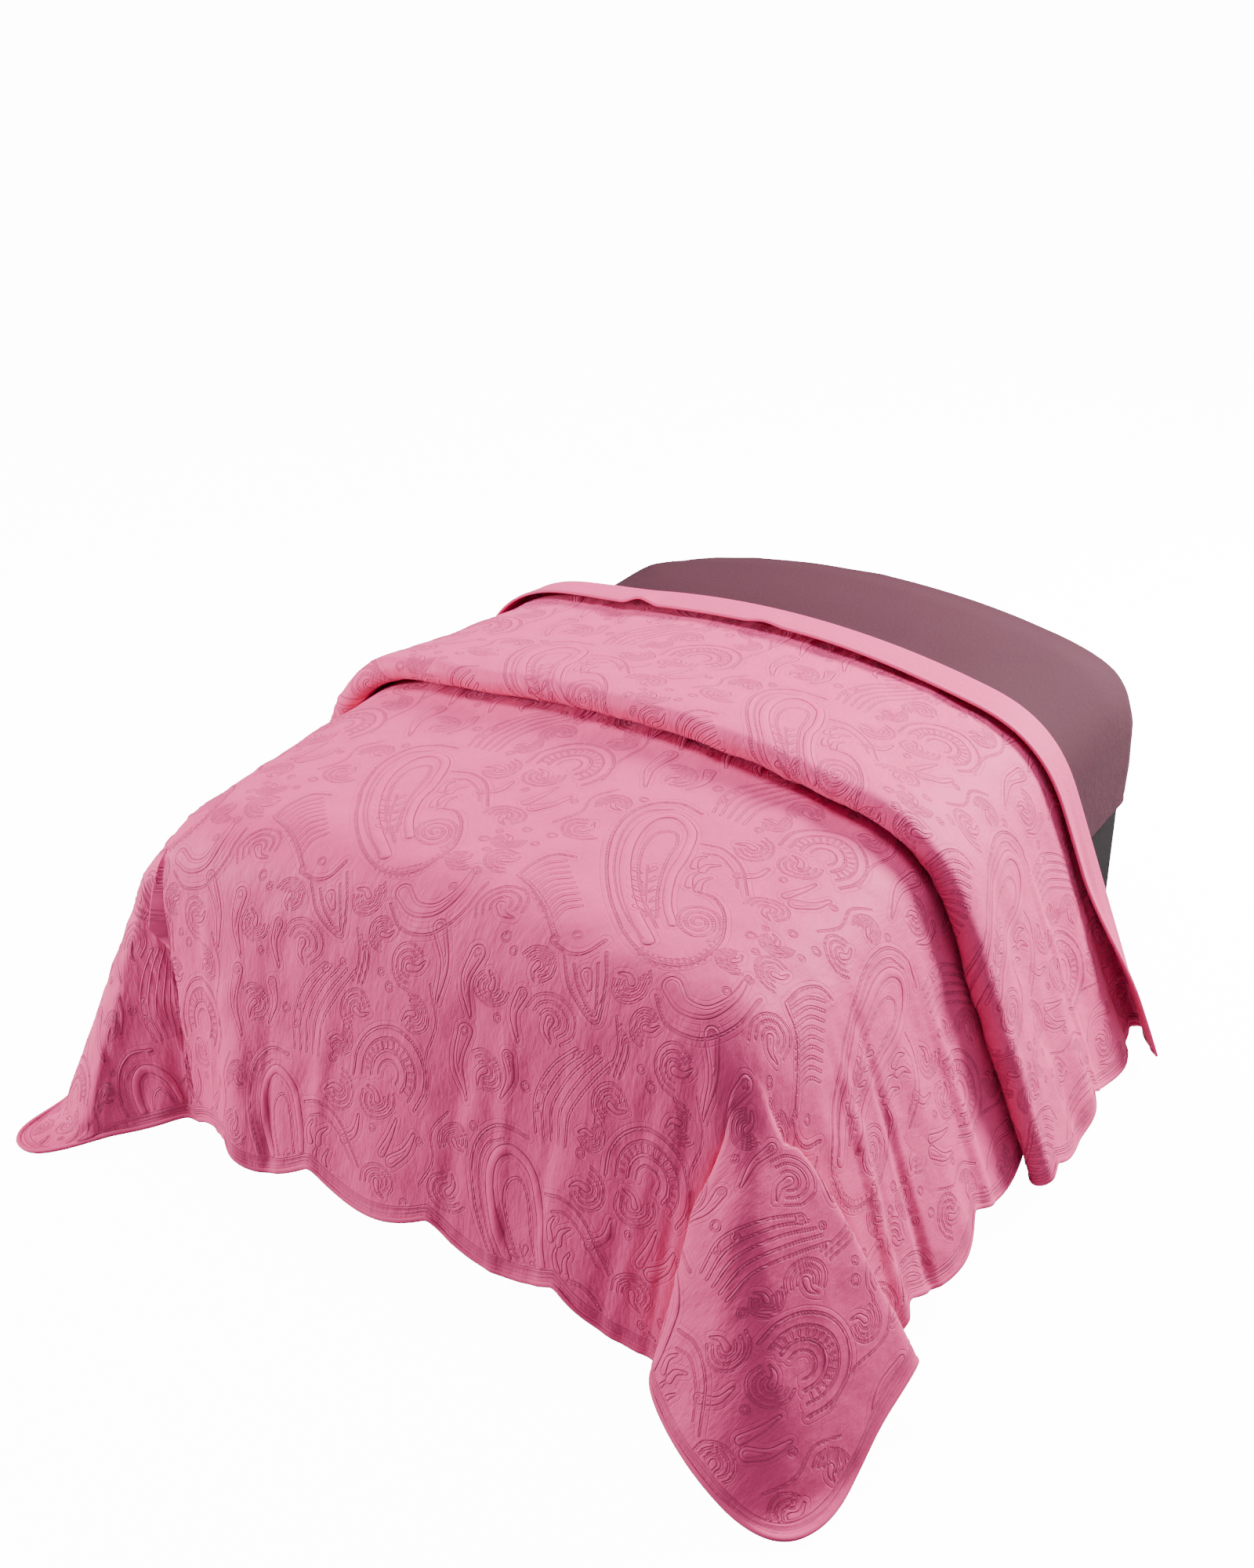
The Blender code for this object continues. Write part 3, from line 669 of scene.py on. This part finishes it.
    def _curls(self) -> None:
        """Small nested curls, each with a drop, that fill the spaces between the motifs."""
        curl = circle_points(-60, 170, 7) * (1, 0.85)
        for k, (u, v, size) in enumerate((
            (-48, -384, 56), (-228, -210, 52), (222, -378, 48), (-234, 84, 46), (180, 228, 45), (78, 222, 45),
            (-180, 366, 44), (198, 54, 44), (102, 402, 43), (-300, -96, 43), (-186, -366, 40), (90, -264, 40),
            (246, 432, 40), (-102, -294, 38), (-234, 198, 37), (144, -330, 34), (228, -132, 34),
            (264, -24, 34), (72, 330, 33),
        )):
            self._spot((u, v), 55 * k)
            for share in (1, 0.7, 0.4):
                self._stroke("rib", 2.2, 2.2, *(share * size * curl))
            drop = size * np.array([(0, 0), (-0.1, -0.4), (0.15, -0.8)])
            self._stroke("shape", 0.17 * size, 2, *drop)

    def at(self, u: Array, v: Array) -> dict[str, Array]:
        """Values of every field at places on the flat cloth."""
        across = u - self.FIRST[0]
        column, row = across / self.du, (v - self.FIRST[1] - self.SLANT * across) / self.dv
        return {name: sample(field, column, row) for name, field in self.fields.items()}


class Relief:
    """How high the quilting and the small creases stand over the cloth."""

    # height, width in which it rises, share of the rise that lies outside the line
    RIBBON, SHAPE, RIB = (0.0026, 0.007, 0.25), (0.0015, 0.009, 0.2), (0.0008, 0.004, 0.45)
    CRINKLE, DOWN_CREASES, SIDE_CREASES, PUCKERS = 0.0004, 0.0008, 0.0014, 0.0013
    SAMPLES, PIXEL = (300, 340), 0.01
    FIRST: Point = (-1.7, -1.75)

    def __init__(self, drape: Drape) -> None:
        self.drape = drape
        self.quilting = Quilting()
        self.down_creases = periodic_noise(self.SAMPLES, (9.0, 1.9), SEED + 2)
        self.side_creases = periodic_noise(self.SAMPLES, (1.9, 9.0), SEED + 3)
        self.puckers = periodic_noise(self.SAMPLES, (2.6, 2.2), SEED + 4)

    def fields(self, u: Array, v: Array, inset: Array) -> dict[str, Array]:
        """Quilting fields at places on the cloth, with the border's own lines near the hem.

        Args:
            u: Places across the flat cloth.
            v: Places along it.
            inset: Distances from the hem.

        Returns:
            Field values by name.
        """
        found = self.quilting.at(u, v)
        border = smooth((inset - 0.028) / 0.012)
        for name in ("ribbon", "shape", "rib"):
            found[name] = mix(-0.02, found[name], border)
        for line in (0.020, 0.030):
            found["rib"] = np.maximum(found["rib"], 0.0026 - np.abs(inset - line))
        return found

    def height(self, u: Array, v: Array, fields: dict[str, Array]) -> Array:
        """Height of the quilted face over the plain cloth."""
        bed = self.drape.bed
        ribbon, shape, rib = (
            height * smooth(fields[name] / width + share)
            for name, (height, width, share) in zip(FIELDS, (self.RIBBON, self.SHAPE, self.RIB))
        )
        puff = np.maximum(ribbon, shape) + rib + self.CRINKLE * fields["crinkle"]
        column, row = (u - self.FIRST[0]) / self.PIXEL, (v - self.FIRST[1]) / self.PIXEL
        down_foot = smooth((-v - bed.edge_foot + 0.12) / 0.35)
        down_side = smooth((np.abs(u) - bed.edge_half_width + 0.12) / 0.35)
        puff += self.DOWN_CREASES * down_foot * (1 - down_side) * sample(self.down_creases, column, row)
        puff += self.SIDE_CREASES * down_side * (1 - down_foot) * sample(self.side_creases, column, row)
        puff += self.PUCKERS * sample(self.puckers, column, row)
        return puff


@dataclass(frozen=True)
class Detail:
    """How finely a copy of the cloth is divided."""

    cell: float
    hidden_cell: float
    fan_degrees: float


@dataclass
class Grid:
    """Points of the whole cloth: a grid on top, and a skirt of fall lines round it."""

    u: Array
    v: Array
    inset: Array
    top: Ints
    skirt: Ints
    station_v: Array
    station_part: Array

    def faces(self) -> Ints:
        """All the cloth's cells, the skirt's turned to face outwards."""
        return np.concatenate([quads(self.top), quads(self.skirt)[:, ::-1]])

    def rim(self) -> Ints:
        """Points round the cloth's edge, once round."""
        top, skirt = self.top, self.skirt
        return np.concatenate([skirt[:, 0], skirt[-1, 1:], skirt[-2::-1, -1], top[-1, -2:0:-1]])

    def before_rim(self) -> Ints:
        """For each point of the rim, the point next to it inside the cloth."""
        top, skirt = self.top, self.skirt
        return np.concatenate([skirt[:, 1], skirt[-2, 1:], skirt[-2::-1, -2], top[-2, -2:0:-1]])


def quads(part: Ints) -> Ints:
    """Four corners of each cell of a grid of indices."""
    return np.stack([part[:-1, :-1], part[:-1, 1:], part[1:, 1:], part[1:, :-1]], -1).reshape(-1, 4)


def rows_between(start: float, end: float, step: float) -> Array:
    """Even places from start to end, without the first one."""
    count = max(1, round((end - start) / step))
    return start + (end - start) * np.arange(1, count + 1) / count


def stations(*columns: Array | float) -> Array:
    """Tops of fall lines: place u and v, way u and v, reach, index of the point, part of the skirt."""
    return np.stack(np.broadcast_arrays(*columns), 1).astype(float)


def lay_out(drape: Drape, detail: Detail) -> Grid:
    """Divides the flat cloth into cells.

    Args:
        drape: The cloth's sizes and shape.
        detail: How finely it is divided.

    Returns:
        The grid in flat coordinates.
    """
    bed, cloth = drape.bed, drape.cloth
    width, fold, end, cell = bed.edge_half_width, cloth.back_fold, drape.end, detail.cell
    columns = np.concatenate([[-width], rows_between(-width, width, cell)])
    rows, start = [np.array([-bed.edge_foot])], -bed.edge_foot
    for stop, step in (
        (fold - 0.08, cell), (fold, detail.hidden_cell), (fold + 0.025, 0.004),
        (fold + 0.125, detail.hidden_cell), (fold + 0.25, min(cell, 0.005)), (end - 0.134, cell),
        (end - 0.10, min(cell, 0.003)), (end, cell),
    ):
        rows.append(rows_between(start, stop, step))
        start = stop
    rows = np.concatenate(rows)
    u, v = np.meshgrid(columns, rows)
    top = np.arange(u.size).reshape(u.shape)
    angles = np.arange(detail.fan_degrees, 90 - detail.fan_degrees / 2, detail.fan_degrees)[::-1]
    turns = np.radians(angles)
    ends = []
    for sign, edge, table in ((-1, 0, cloth.left_reach), (1, -1, cloth.right_reach)):
        reach = drape.corner_reach(angles, table, columns[edge])
        way_u, way_v = sign * np.cos(turns), -np.sin(turns)
        fan = stations(columns[edge], rows[0], way_u, way_v, reach, top[0, edge], 2 + sign)
        side = stations(columns[edge], rows, sign, 0, drape.side_reach(rows), top[:, edge], 2 + 2 * sign)
        ends.append(np.concatenate([fan, side]))
    foot = stations(columns, rows[0], 0, -1, drape.foot_reach(columns), top[0], 2)
    table = np.concatenate([ends[0][::-1], foot, ends[1]])
    steps = round(cloth.side_fall / cell)
    share = np.arange(1, steps + 1)[:, None] / steps
    fall_u = table[:, 0] + share * table[:, 4] * table[:, 2]
    fall_v = table[:, 1] + share * table[:, 4] * table[:, 3]
    new = u.size + np.arange(fall_u.size).reshape(fall_u.shape)
    skirt = np.concatenate([table[None, :, 5].astype(int), new])
    inset = np.concatenate([np.full(u.size, 1.0), ((1 - share) * table[:, 4]).ravel()])
    u, v = (np.concatenate([over.ravel(), beside.ravel()]) for over, beside in ((u, fall_u), (v, fall_v)))
    return Grid(u, v, np.minimum(inset, end - v), top, skirt, table[:, 1], table[:, 6])


def point_normals(points: Array, faces: Ints) -> Array:
    """Unit normals at points from the cells around them."""
    corners = points[faces]
    normal = np.cross(corners[:, 2] - corners[:, 0], corners[:, 3] - corners[:, 1])
    total = np.stack([
        sum(np.bincount(faces[:, i], normal[:, axis], len(points)) for i in range(4)) for axis in range(3)
    ], 1)
    return total / np.maximum(np.linalg.norm(total, axis=1), 1e-12)[:, None]


def mesh_object(name: str, points: Array, faces: Ints, normals: Array | None = None,
                flat: Array | None = None, fields: dict[str, Array] | None = None) -> Object:
    """Makes a smooth mesh object from some cells of a larger set of points.

    Args:
        name: The object's name.
        points: All the points.
        faces: Cells of four points; a cell whose neighbours share a point becomes a triangle.
        normals: Normals of all the points, if they are set.
        flat: Flat coordinates of all the points, for the UV map.
        fields: Values of all the points by name.

    Returns:
        The linked object.
    """
    used, index = np.unique(faces, return_inverse=True)
    index = index.reshape(faces.shape)
    cells = []
    for cell in index.tolist():
        kept = [c for i, c in enumerate(cell) if c != cell[i - 1]]
        if len(kept) > 2:
            cells.append(kept)
    mesh = bpy.data.meshes.new(name)
    mesh.from_pydata(points[used].tolist(), [], cells)
    mesh.shade_smooth()
    loops = np.zeros(len(mesh.loops), dtype=np.int32)
    mesh.loops.foreach_get("vertex_index", loops)
    if flat is not None:
        layer = mesh.uv_layers.new(name="Flat")
        layer.data.foreach_set("uv", flat[used][loops].astype(np.float32).ravel())
    for label, values in (fields or {}).items():
        attribute = mesh.attributes.new(label, "FLOAT", "POINT")
        attribute.data.foreach_set("value", values[used].astype(np.float32))
    if normals is not None:
        mesh.normals_split_custom_set_from_vertices(normals[used].tolist())
    made = bpy.data.objects.new(name, mesh)
    bpy.context.collection.objects.link(made)
    return made


class Shader:
    """Builds one material's nodes around its principled shader."""

    def __init__(self, finish: Finish) -> None:
        self.material = bpy.data.materials.new(finish.name)
        self.material.use_nodes = True
        self.tree = self.material.node_tree
        self.surface = self.tree.nodes["Principled BSDF"]
        for name, value in (
            ("Base Color", (*finish.colour, 1)),
            ("Roughness", finish.roughness),
            ("Sheen Weight", finish.sheen),
            ("Sheen Roughness", 0.45),
            ("Sheen Tint", (1.0, 0.70, 0.80, 1)),
            ("Specular IOR Level", 0.16),
        ):
            self.surface.inputs[name].default_value = value

    def _put(self, socket: Socket, value: Socket | float) -> None:
        """Links a socket, or sets it to a number."""
        if isinstance(value, Socket):
            self.tree.links.new(value, socket)
        else:
            socket.default_value = value

    def math(self, operation: str, first: Socket | float, *others: Socket | float) -> Socket:
        """Result of an operation on values, taken one after the other."""
        for other in others:
            node = self.tree.nodes.new("ShaderNodeMath")
            node.operation = operation
            self._put(node.inputs[0], first)
            self._put(node.inputs[1], other)
            first = node.outputs[0]
        return first

    def ramp(self, value: Socket, low: float, high: float, start: float, end: float) -> Socket:
        """Eased change from start to end as the value goes from low to high."""
        node = self.tree.nodes.new("ShaderNodeMapRange")
        node.interpolation_type = "SMOOTHSTEP"
        for name, number in (("From Min", low), ("From Max", high), ("To Min", start), ("To Max", end)):
            node.inputs[name].default_value = number
        self._put(node.inputs["Value"], value)
        return node.outputs["Result"]

    def field(self, name: str) -> Socket:
        """A value stored at the mesh's points."""
        node = self.tree.nodes.new("ShaderNodeAttribute")
        node.attribute_name = name
        return node.outputs["Fac"]

    def noise(self, stretch: tuple[float, float, float], source: str = "UV", detail: float = 3.0) -> Socket:
        """Noise, stretched along the axes of its coordinates."""
        coordinates = self.tree.nodes.new("ShaderNodeTexCoord")
        mapping = self.tree.nodes.new("ShaderNodeMapping")
        mapping.inputs["Scale"].default_value = stretch
        node = self.tree.nodes.new("ShaderNodeTexNoise")
        node.inputs["Scale"].default_value = 1.0
        node.inputs["Detail"].default_value = detail
        self.tree.links.new(coordinates.outputs[source], mapping.inputs["Vector"])
        self.tree.links.new(mapping.outputs["Vector"], node.inputs["Vector"])
        return node.outputs["Fac"]

    def line(self, value: Socket, place: float, width: float, depth: float) -> Socket:
        """Depth where the value is at place, falling to 0 within width."""
        off = self.math("ABSOLUTE", self.math("SUBTRACT", value, place), 0.0)
        return self.ramp(off, 0.0, width, depth, 0.0)

    def tint(self, colour: tuple, share_of_darker: float, share: Socket) -> None:
        """Sets the colour to a mix of itself and a deeper shade of it."""
        node = self.tree.nodes.new("ShaderNodeMix")
        node.data_type = "RGBA"
        self._put(node.inputs["Factor"], share)
        node.inputs["A"].default_value = (*colour, 1)
        node.inputs["B"].default_value = (*(channel * share_of_darker for channel in colour), 1)
        self.tree.links.new(node.outputs["Result"], self.surface.inputs["Base Color"])

    def bump(self, height: Socket) -> None:
        """Sets the normal from a height in metres."""
        node = self.tree.nodes.new("ShaderNodeBump")
        node.inputs["Strength"].default_value = 1.0
        node.inputs["Distance"].default_value = 1.0
        self._put(node.inputs["Height"], height)
        self.tree.links.new(node.outputs["Normal"], self.surface.inputs["Normal"])

    def glow(self, strength: float) -> None:
        """Brightens the surface for the camera alone, so that it lights nothing."""
        seen = self.tree.nodes.new("ShaderNodeLightPath").outputs["Is Camera Ray"]
        self.surface.inputs["Emission Color"].default_value = (1, 1, 1, 1)
        self._put(self.surface.inputs["Emission Strength"], self.math("MULTIPLY", seen, strength))


def face_material() -> Material:
    """The quilted face: stitched lines with painted shade darkening their grooves, crinkles between them and
    a fine weave.
    """
    finish = Finishes.FACE.value
    shader = Shader(finish)
    math = shader.math
    ribbon, shape, rib, stipple = (shader.field(name) for name in FIELDS)
    # field, place in it, width, depth
    lines = (
        (ribbon, 0.0, 0.0023, 1.0), (shape, 0.0, 0.0023, 1.0), (shape, 0.007, 0.0020, 0.6),
        (ribbon, -0.0100, 0.0018, 0.30), (shape, -0.0095, 0.0018, 0.30), (rib, -0.0004, 0.0020, 0.8),
    )
    stitches = math("MAXIMUM", *(shader.line(*line) for line in lines))
    crinkle = shader.noise((165.0, 50.0, 1.0), detail=4.0)
    stippling = shader.noise((330.0, 330.0, 1.0))
    weave = shader.noise((900.0, 900.0, 1.0), detail=1.0)
    plain = shader.ramp(math("MAXIMUM", ribbon, shape), -0.002, 0.004, 1.0, 0.35)
    spots = shader.ramp(stipple, -0.002, 0.003, 0.15, 1.0)
    heights = ((stitches, -0.0020), (crinkle, plain, 0.0015), (stippling, spots, 0.0009), (weave, 0.0001))
    shader.bump(math("ADD", *(math("MULTIPLY", *parts) for parts in heights)))
    # Painted shade: the colour is darker along the stitch lines, where shade falls in the grooves, and darker
    # with the crinkle noise as a mottle that follows the crinkles.
    shade = math("ADD", math("MULTIPLY", stitches, 0.48), math("MULTIPLY", crinkle, 0.22))
    shader.tint(finish.colour, 0.45, shade)
    return shader.material


def plain_material(finish: Finish, weave: float, source: str = "UV", crinkle: float = 0.0) -> Material:
    """A plain woven cloth.

    Args:
        finish: Its colour and gloss.
        weave: Height of the weave.
        source: Coordinates that it follows.
        crinkle: Height of soft crinkles.

    Returns:
        The material.
    """
    shader = Shader(finish)
    math = shader.math
    threads = shader.noise((950.0, 950.0, 950.0), source, 1.0)
    soft = shader.noise((120.0, 60.0, 60.0), source)
    shader.bump(math("ADD", math("MULTIPLY", threads, weave), math("MULTIPLY", soft, crinkle)))
    shader.tint(finish.colour, 0.75, math("MULTIPLY", soft, 0.4))
    return shader.material


class Bedspread:
    """The quilted cloth: its face in panels, its plain back, and the narrow binding round its edge."""

    BINDING = ((0.0085, 0.0027), (0.0080, 0.0036), (0.0015, 0.0038), (-0.0022, 0.0028), (-0.0034, 0.0),
               (-0.0022, -0.0028), (0.0015, -0.0038), (0.0080, -0.0036), (0.0085, -0.0022))

    def __init__(self, drape: Drape) -> None:
        self.drape = drape
        self.relief = Relief(drape)
        self.fine = Detail(0.0047, 0.010, 0.36)
        self.coarse = Detail(0.011, 0.016, 1.1)

    def _hung(self, detail: Detail) -> tuple[Grid, Array, Array, Array]:
        """A grid of the cloth with its middle surface, its normals and its flat places."""
        grid = lay_out(self.drape, detail)
        middle = self.drape.point(grid.u, grid.v)
        return grid, middle, point_normals(middle, grid.faces()), np.stack([grid.u, grid.v], 1)

    def _panels(self, grid: Grid) -> dict[str, Ints]:
        """Cells of the face by panel."""
        band_start = self.drape.cloth.back_fold + 0.03
        split = int(np.searchsorted(grid.v[grid.top[:, 0]], band_start))
        part, front = grid.station_part, grid.station_v < band_start
        panels = {"front_top": quads(grid.top[: split + 1]), "band_top": quads(grid.top[split:])}
        for name, chosen in (
            ("left_band_side", (part == 0) & ~front),
            ("left_side", (part == 0) & front | (part == 1)),
            ("foot_side", part == 2),
            ("right_side", (part == 3) | (part == 4) & front),
            ("right_band_side", (part == 4) & ~front),
        ):
            places = np.nonzero(chosen)[0]
            panels[name] = quads(grid.skirt[:, places[0] : places[-1] + 2])[:, ::-1]
        return panels

    def make_face(self) -> list[Object]:
        """The quilted face in panels that share their normals at the seams."""
        grid, middle, normal, flat = self._hung(self.fine)
        fields = self.relief.fields(grid.u, grid.v, grid.inset)
        raised = self.relief.height(grid.u, grid.v, fields) * smooth(grid.inset / 0.02)
        points = middle + normal * (self.drape.cloth.thickness / 2 + raised)[:, None]
        shown = point_normals(points, grid.faces())
        kept = {name: fields[name] for name in FIELDS}
        material = face_material()
        made = []
        for name, faces in self._panels(grid).items():
            panel = mesh_object(f"bedspread_{name}", points, faces, shown, flat, kept)
            panel.data.materials.append(material)
            made.append(panel)
        return made

    def make_back(self) -> tuple[Object, float]:
        """The plain back of the whole cloth, and its flat area."""
        grid, middle, normal, flat = self._hung(self.coarse)
        points = middle - normal * self.drape.cloth.thickness / 2
        faces = grid.faces()
        back = mesh_object("bedspread_back", points, faces[:, ::-1], None, flat)
        back.data.materials.append(plain_material(Finishes.BACK.value, 0.0002, crinkle=0.0016))
        corners = flat[faces]
        first, second = corners[:, 2] - corners[:, 0], corners[:, 3] - corners[:, 1]
        area = float(np.abs(first[:, 0] * second[:, 1] - first[:, 1] * second[:, 0]).sum() / 2)
        return back, area

    def make_binding(self) -> Object:
        """The narrow rounded strip sewn over the whole edge."""
        grid, middle, normal, flat = self._hung(self.fine)
        rim, inner = grid.rim(), grid.before_rim()
        at, up = middle[rim], normal[rim]
        out = np.cross(np.roll(at, -1, axis=0) - np.roll(at, 1, axis=0), up)
        out *= np.sign(np.einsum("ij,ij->i", out, at - middle[inner]))[:, None]
        out /= np.maximum(np.linalg.norm(out, axis=1), 1e-9)[:, None]
        rings = np.stack([at - out * inward + up * height for inward, height in self.BINDING])
        index = np.arange(rings.shape[0] * len(rim)).reshape(-1, len(rim))
        index = np.concatenate([index, index[:, :1]], 1)
        flat = np.tile(flat[rim], (len(rings), 1))
        strip = mesh_object("bedspread_binding", rings.reshape(-1, 3), quads(index)[:, ::-1], None, flat)
        strip.data.materials.append(plain_material(Finishes.BINDING.value, 0.0002))
        return strip

    def make(self) -> None:
        back, area = self.make_back()
        pieces = [*self.make_face(), self.make_binding()]
        for piece in (back, *pieces):
            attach(piece, "root")
        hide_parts("bedspread")
        LOG.info("flat area %.2f", area)


class Mattress:
    """The mattress in its fitted sheet."""

    EDGE_RADIUS = 0.035
    SHEET_START = 0.44

    def __init__(self, drape: Drape, columns: int = 120, rows: int = 150, courses: int = 26) -> None:
        self.drape, self.columns, self.rows, self.courses = drape, columns, rows, courses

    def _top(self, x: Array, y: Array) -> Array:
        """Height just under the cloth, lower towards the edges."""
        bed = self.drape.bed
        edge = np.maximum(np.abs(x) / (bed.mattress_width / 2), np.abs(y) / (bed.mattress_length / 2))
        gap = bed.rest_gap + self.drape.cloth.thickness / 2
        slope = bed.mattress_edge_drop * smooth((edge - 0.55) / 0.45)
        head = 0.03 * smooth((y - 0.80) / 0.215)
        return self.drape.top_height(np.abs(x), True, y) - gap - slope - head

    def _top_points(self) -> Array:
        """Points of the top by row and column, its corners and its edge rounded."""
        bed, shape = self.drape.bed, (self.rows + 1, self.columns + 1)
        width, length, corner = bed.mattress_width / 2, bed.mattress_length / 2, bed.mattress_corner
        x, y = np.meshgrid(np.linspace(-1, 1, shape[1]) * width, np.linspace(-1, 1, shape[0]) * length)
        over_x, over_y = np.abs(x) - (width - corner), np.abs(y) - (length - corner)
        both, far = (over_x > 0) & (over_y > 0), np.hypot(over_x, over_y)
        keep = np.where(both, np.maximum(over_x, over_y) / np.maximum(far, 1e-9), 1)
        x = np.where(both, np.copysign(width - corner + over_x * keep, x), x)
        y = np.where(both, np.copysign(length - corner + over_y * keep, y), y)
        outside = np.where(both, far * keep - corner, np.maximum(np.abs(x) - width, np.abs(y) - length))
        towards_edge = 1 - np.clip(-outside / self.EDGE_RADIUS, 0, 1)
        z = self._top(x, y) - self.EDGE_RADIUS * (1 - np.sqrt(1 - towards_edge**2))
        wrinkle = periodic_noise(shape, (7.0, 5.0), SEED + 6)
        z -= 0.0016 * np.abs(wrinkle) * smooth((y - self.SHEET_START) / 0.06)
        return np.stack([x, y, z], -1)

    def make(self) -> Object:
        top = self._top_points()
        index = np.arange(top[..., 0].size).reshape(top.shape[:2])
        ring = np.concatenate([index[0, :-1], index[:-1, -1], index[-1, :0:-1], index[:0:-1, 0]])
        rim = top.reshape(-1, 3)[ring]
        bottom = self.drape.bed.mattress_bottom + self.drape.bed.seat_gap
        away = rim[:, :2] / np.linalg.norm(rim[:, :2], axis=1)[:, None]
        t = np.arange(1, self.courses + 1)[:, None] / self.courses
        wrinkle = periodic_noise((self.courses + 1, len(ring)), (3.0, 4.0), SEED + 7)[1:]
        seam, tuck = 0.004 * np.exp(-(((t - 0.86) / 0.02) ** 2)), 0.018 * smooth((t - 0.93) / 0.07)
        out = 0.004 * np.sin(pi * t) - 0.0012 * np.abs(wrinkle) - seam - tuck
        height = mix(rim[:, 2], bottom, t)
        walls = np.stack([rim[:, 0] + away[:, 0] * out, rim[:, 1] + away[:, 1] * out, height], -1)
        side = np.concatenate([ring[None], index.size + np.arange(height.size).reshape(height.shape)])
        side = np.concatenate([side, side[:, :1]], 1)
        points = np.concatenate([top.reshape(-1, 3), walls.reshape(-1, 3), [[0, 0, bottom]]])
        last = side[-1]
        under = np.stack([last[:-1], np.full(len(ring), len(points) - 1), last[1:], last[1:]], 1)
        made = mesh_object("mattress_in_sheet", points, np.concatenate([quads(index), quads(side.T), under]))
        made.data.set_sharp_from_angle(angle=radians(60))
        made.data.materials.append(plain_material(Finishes.SHEET.value, 0.0003, "Object", 0.0012))
        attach(made, "root")
        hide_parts("mattress")
        return made


def dress_base(frame: dict) -> None:
    """Gives the bed base a near-black woven material."""
    node = frame["nodes"]["bed_base"]
    material = plain_material(Finishes.BASE.value, 0.0004, "Object", 0.0004)
    node.data.materials.clear()
    node.data.materials.append(material)


@dataclass(frozen=True)
class Studio:
    """The camera at the photo's angle, the floor and the soft lights."""

    place: tuple[float, float, float] = (2.1229, -3.6338, 2.7777)
    turn: float = 32.31
    tilt: float = 26.955
    lens: float = 45.875
    shift: Point = (-0.0005, -0.0103)
    # place, aim, size, watts
    lights: tuple = (
        ((2.6, 3.8, 3.3), (0.1, 0.0, 0.6), 1.6, 880.0),
        ((-4.6, -3.0, 1.7), (-0.3, -0.8, 0.3), 1.4, 450.0),
        ((-0.3, 0.0, 5.0), (0.0, -0.2, 0.6), 2.2, 230.0),
    )
    sky: float = 0.20
    floor_glow: float = 14.0

    def make(self) -> None:
        """Builds the stage and points the camera."""
        bpy.ops.mesh.primitive_plane_add(size=90, location=(0, 0, 0))
        floor = bpy.context.object
        floor.name = "floor"
        shader = Shader(Finishes.FLOOR.value)
        shader.glow(self.floor_glow)
        floor.data.materials.append(shader.material)
        for i, (place, aim, size, watts) in enumerate(self.lights):
            light = bpy.data.lights.new(f"soft_light_{i}", "AREA")
            light.shape = "DISK"
            light.size = size
            light.energy = watts
            lamp = bpy.data.objects.new(light.name, light)
            lamp.location = place
            lamp.rotation_euler = (Vector(aim) - Vector(place)).to_track_quat("-Z", "Y").to_euler()
            bpy.context.collection.objects.link(lamp)
        world = bpy.data.worlds.new("studio")
        world.use_nodes = True
        world.node_tree.nodes["Background"].inputs["Color"].default_value = (1, 1, 1, 1)
        world.node_tree.nodes["Background"].inputs["Strength"].default_value = self.sky
        bpy.context.scene.world = world
        data = bpy.data.cameras.new("photo_view")
        data.lens = self.lens
        data.sensor_width = 36
        data.shift_x, data.shift_y = self.shift
        camera = bpy.data.objects.new("photo_view", data)
        camera.location = self.place
        camera.rotation_euler = (radians(90 - self.tilt), 0, radians(self.turn))
        bpy.context.collection.objects.link(camera)
        bpy.context.scene.camera = camera


def main() -> None:
    """Builds everything on the frame."""
    logging.basicConfig(level=logging.INFO)
    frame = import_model()
    drape = Drape(Bed(), Cloth())
    Studio().make()
    Bedspread(drape).make()
    Mattress(drape).make()
    dress_base(frame)


if __name__ == "__main__":
    main()
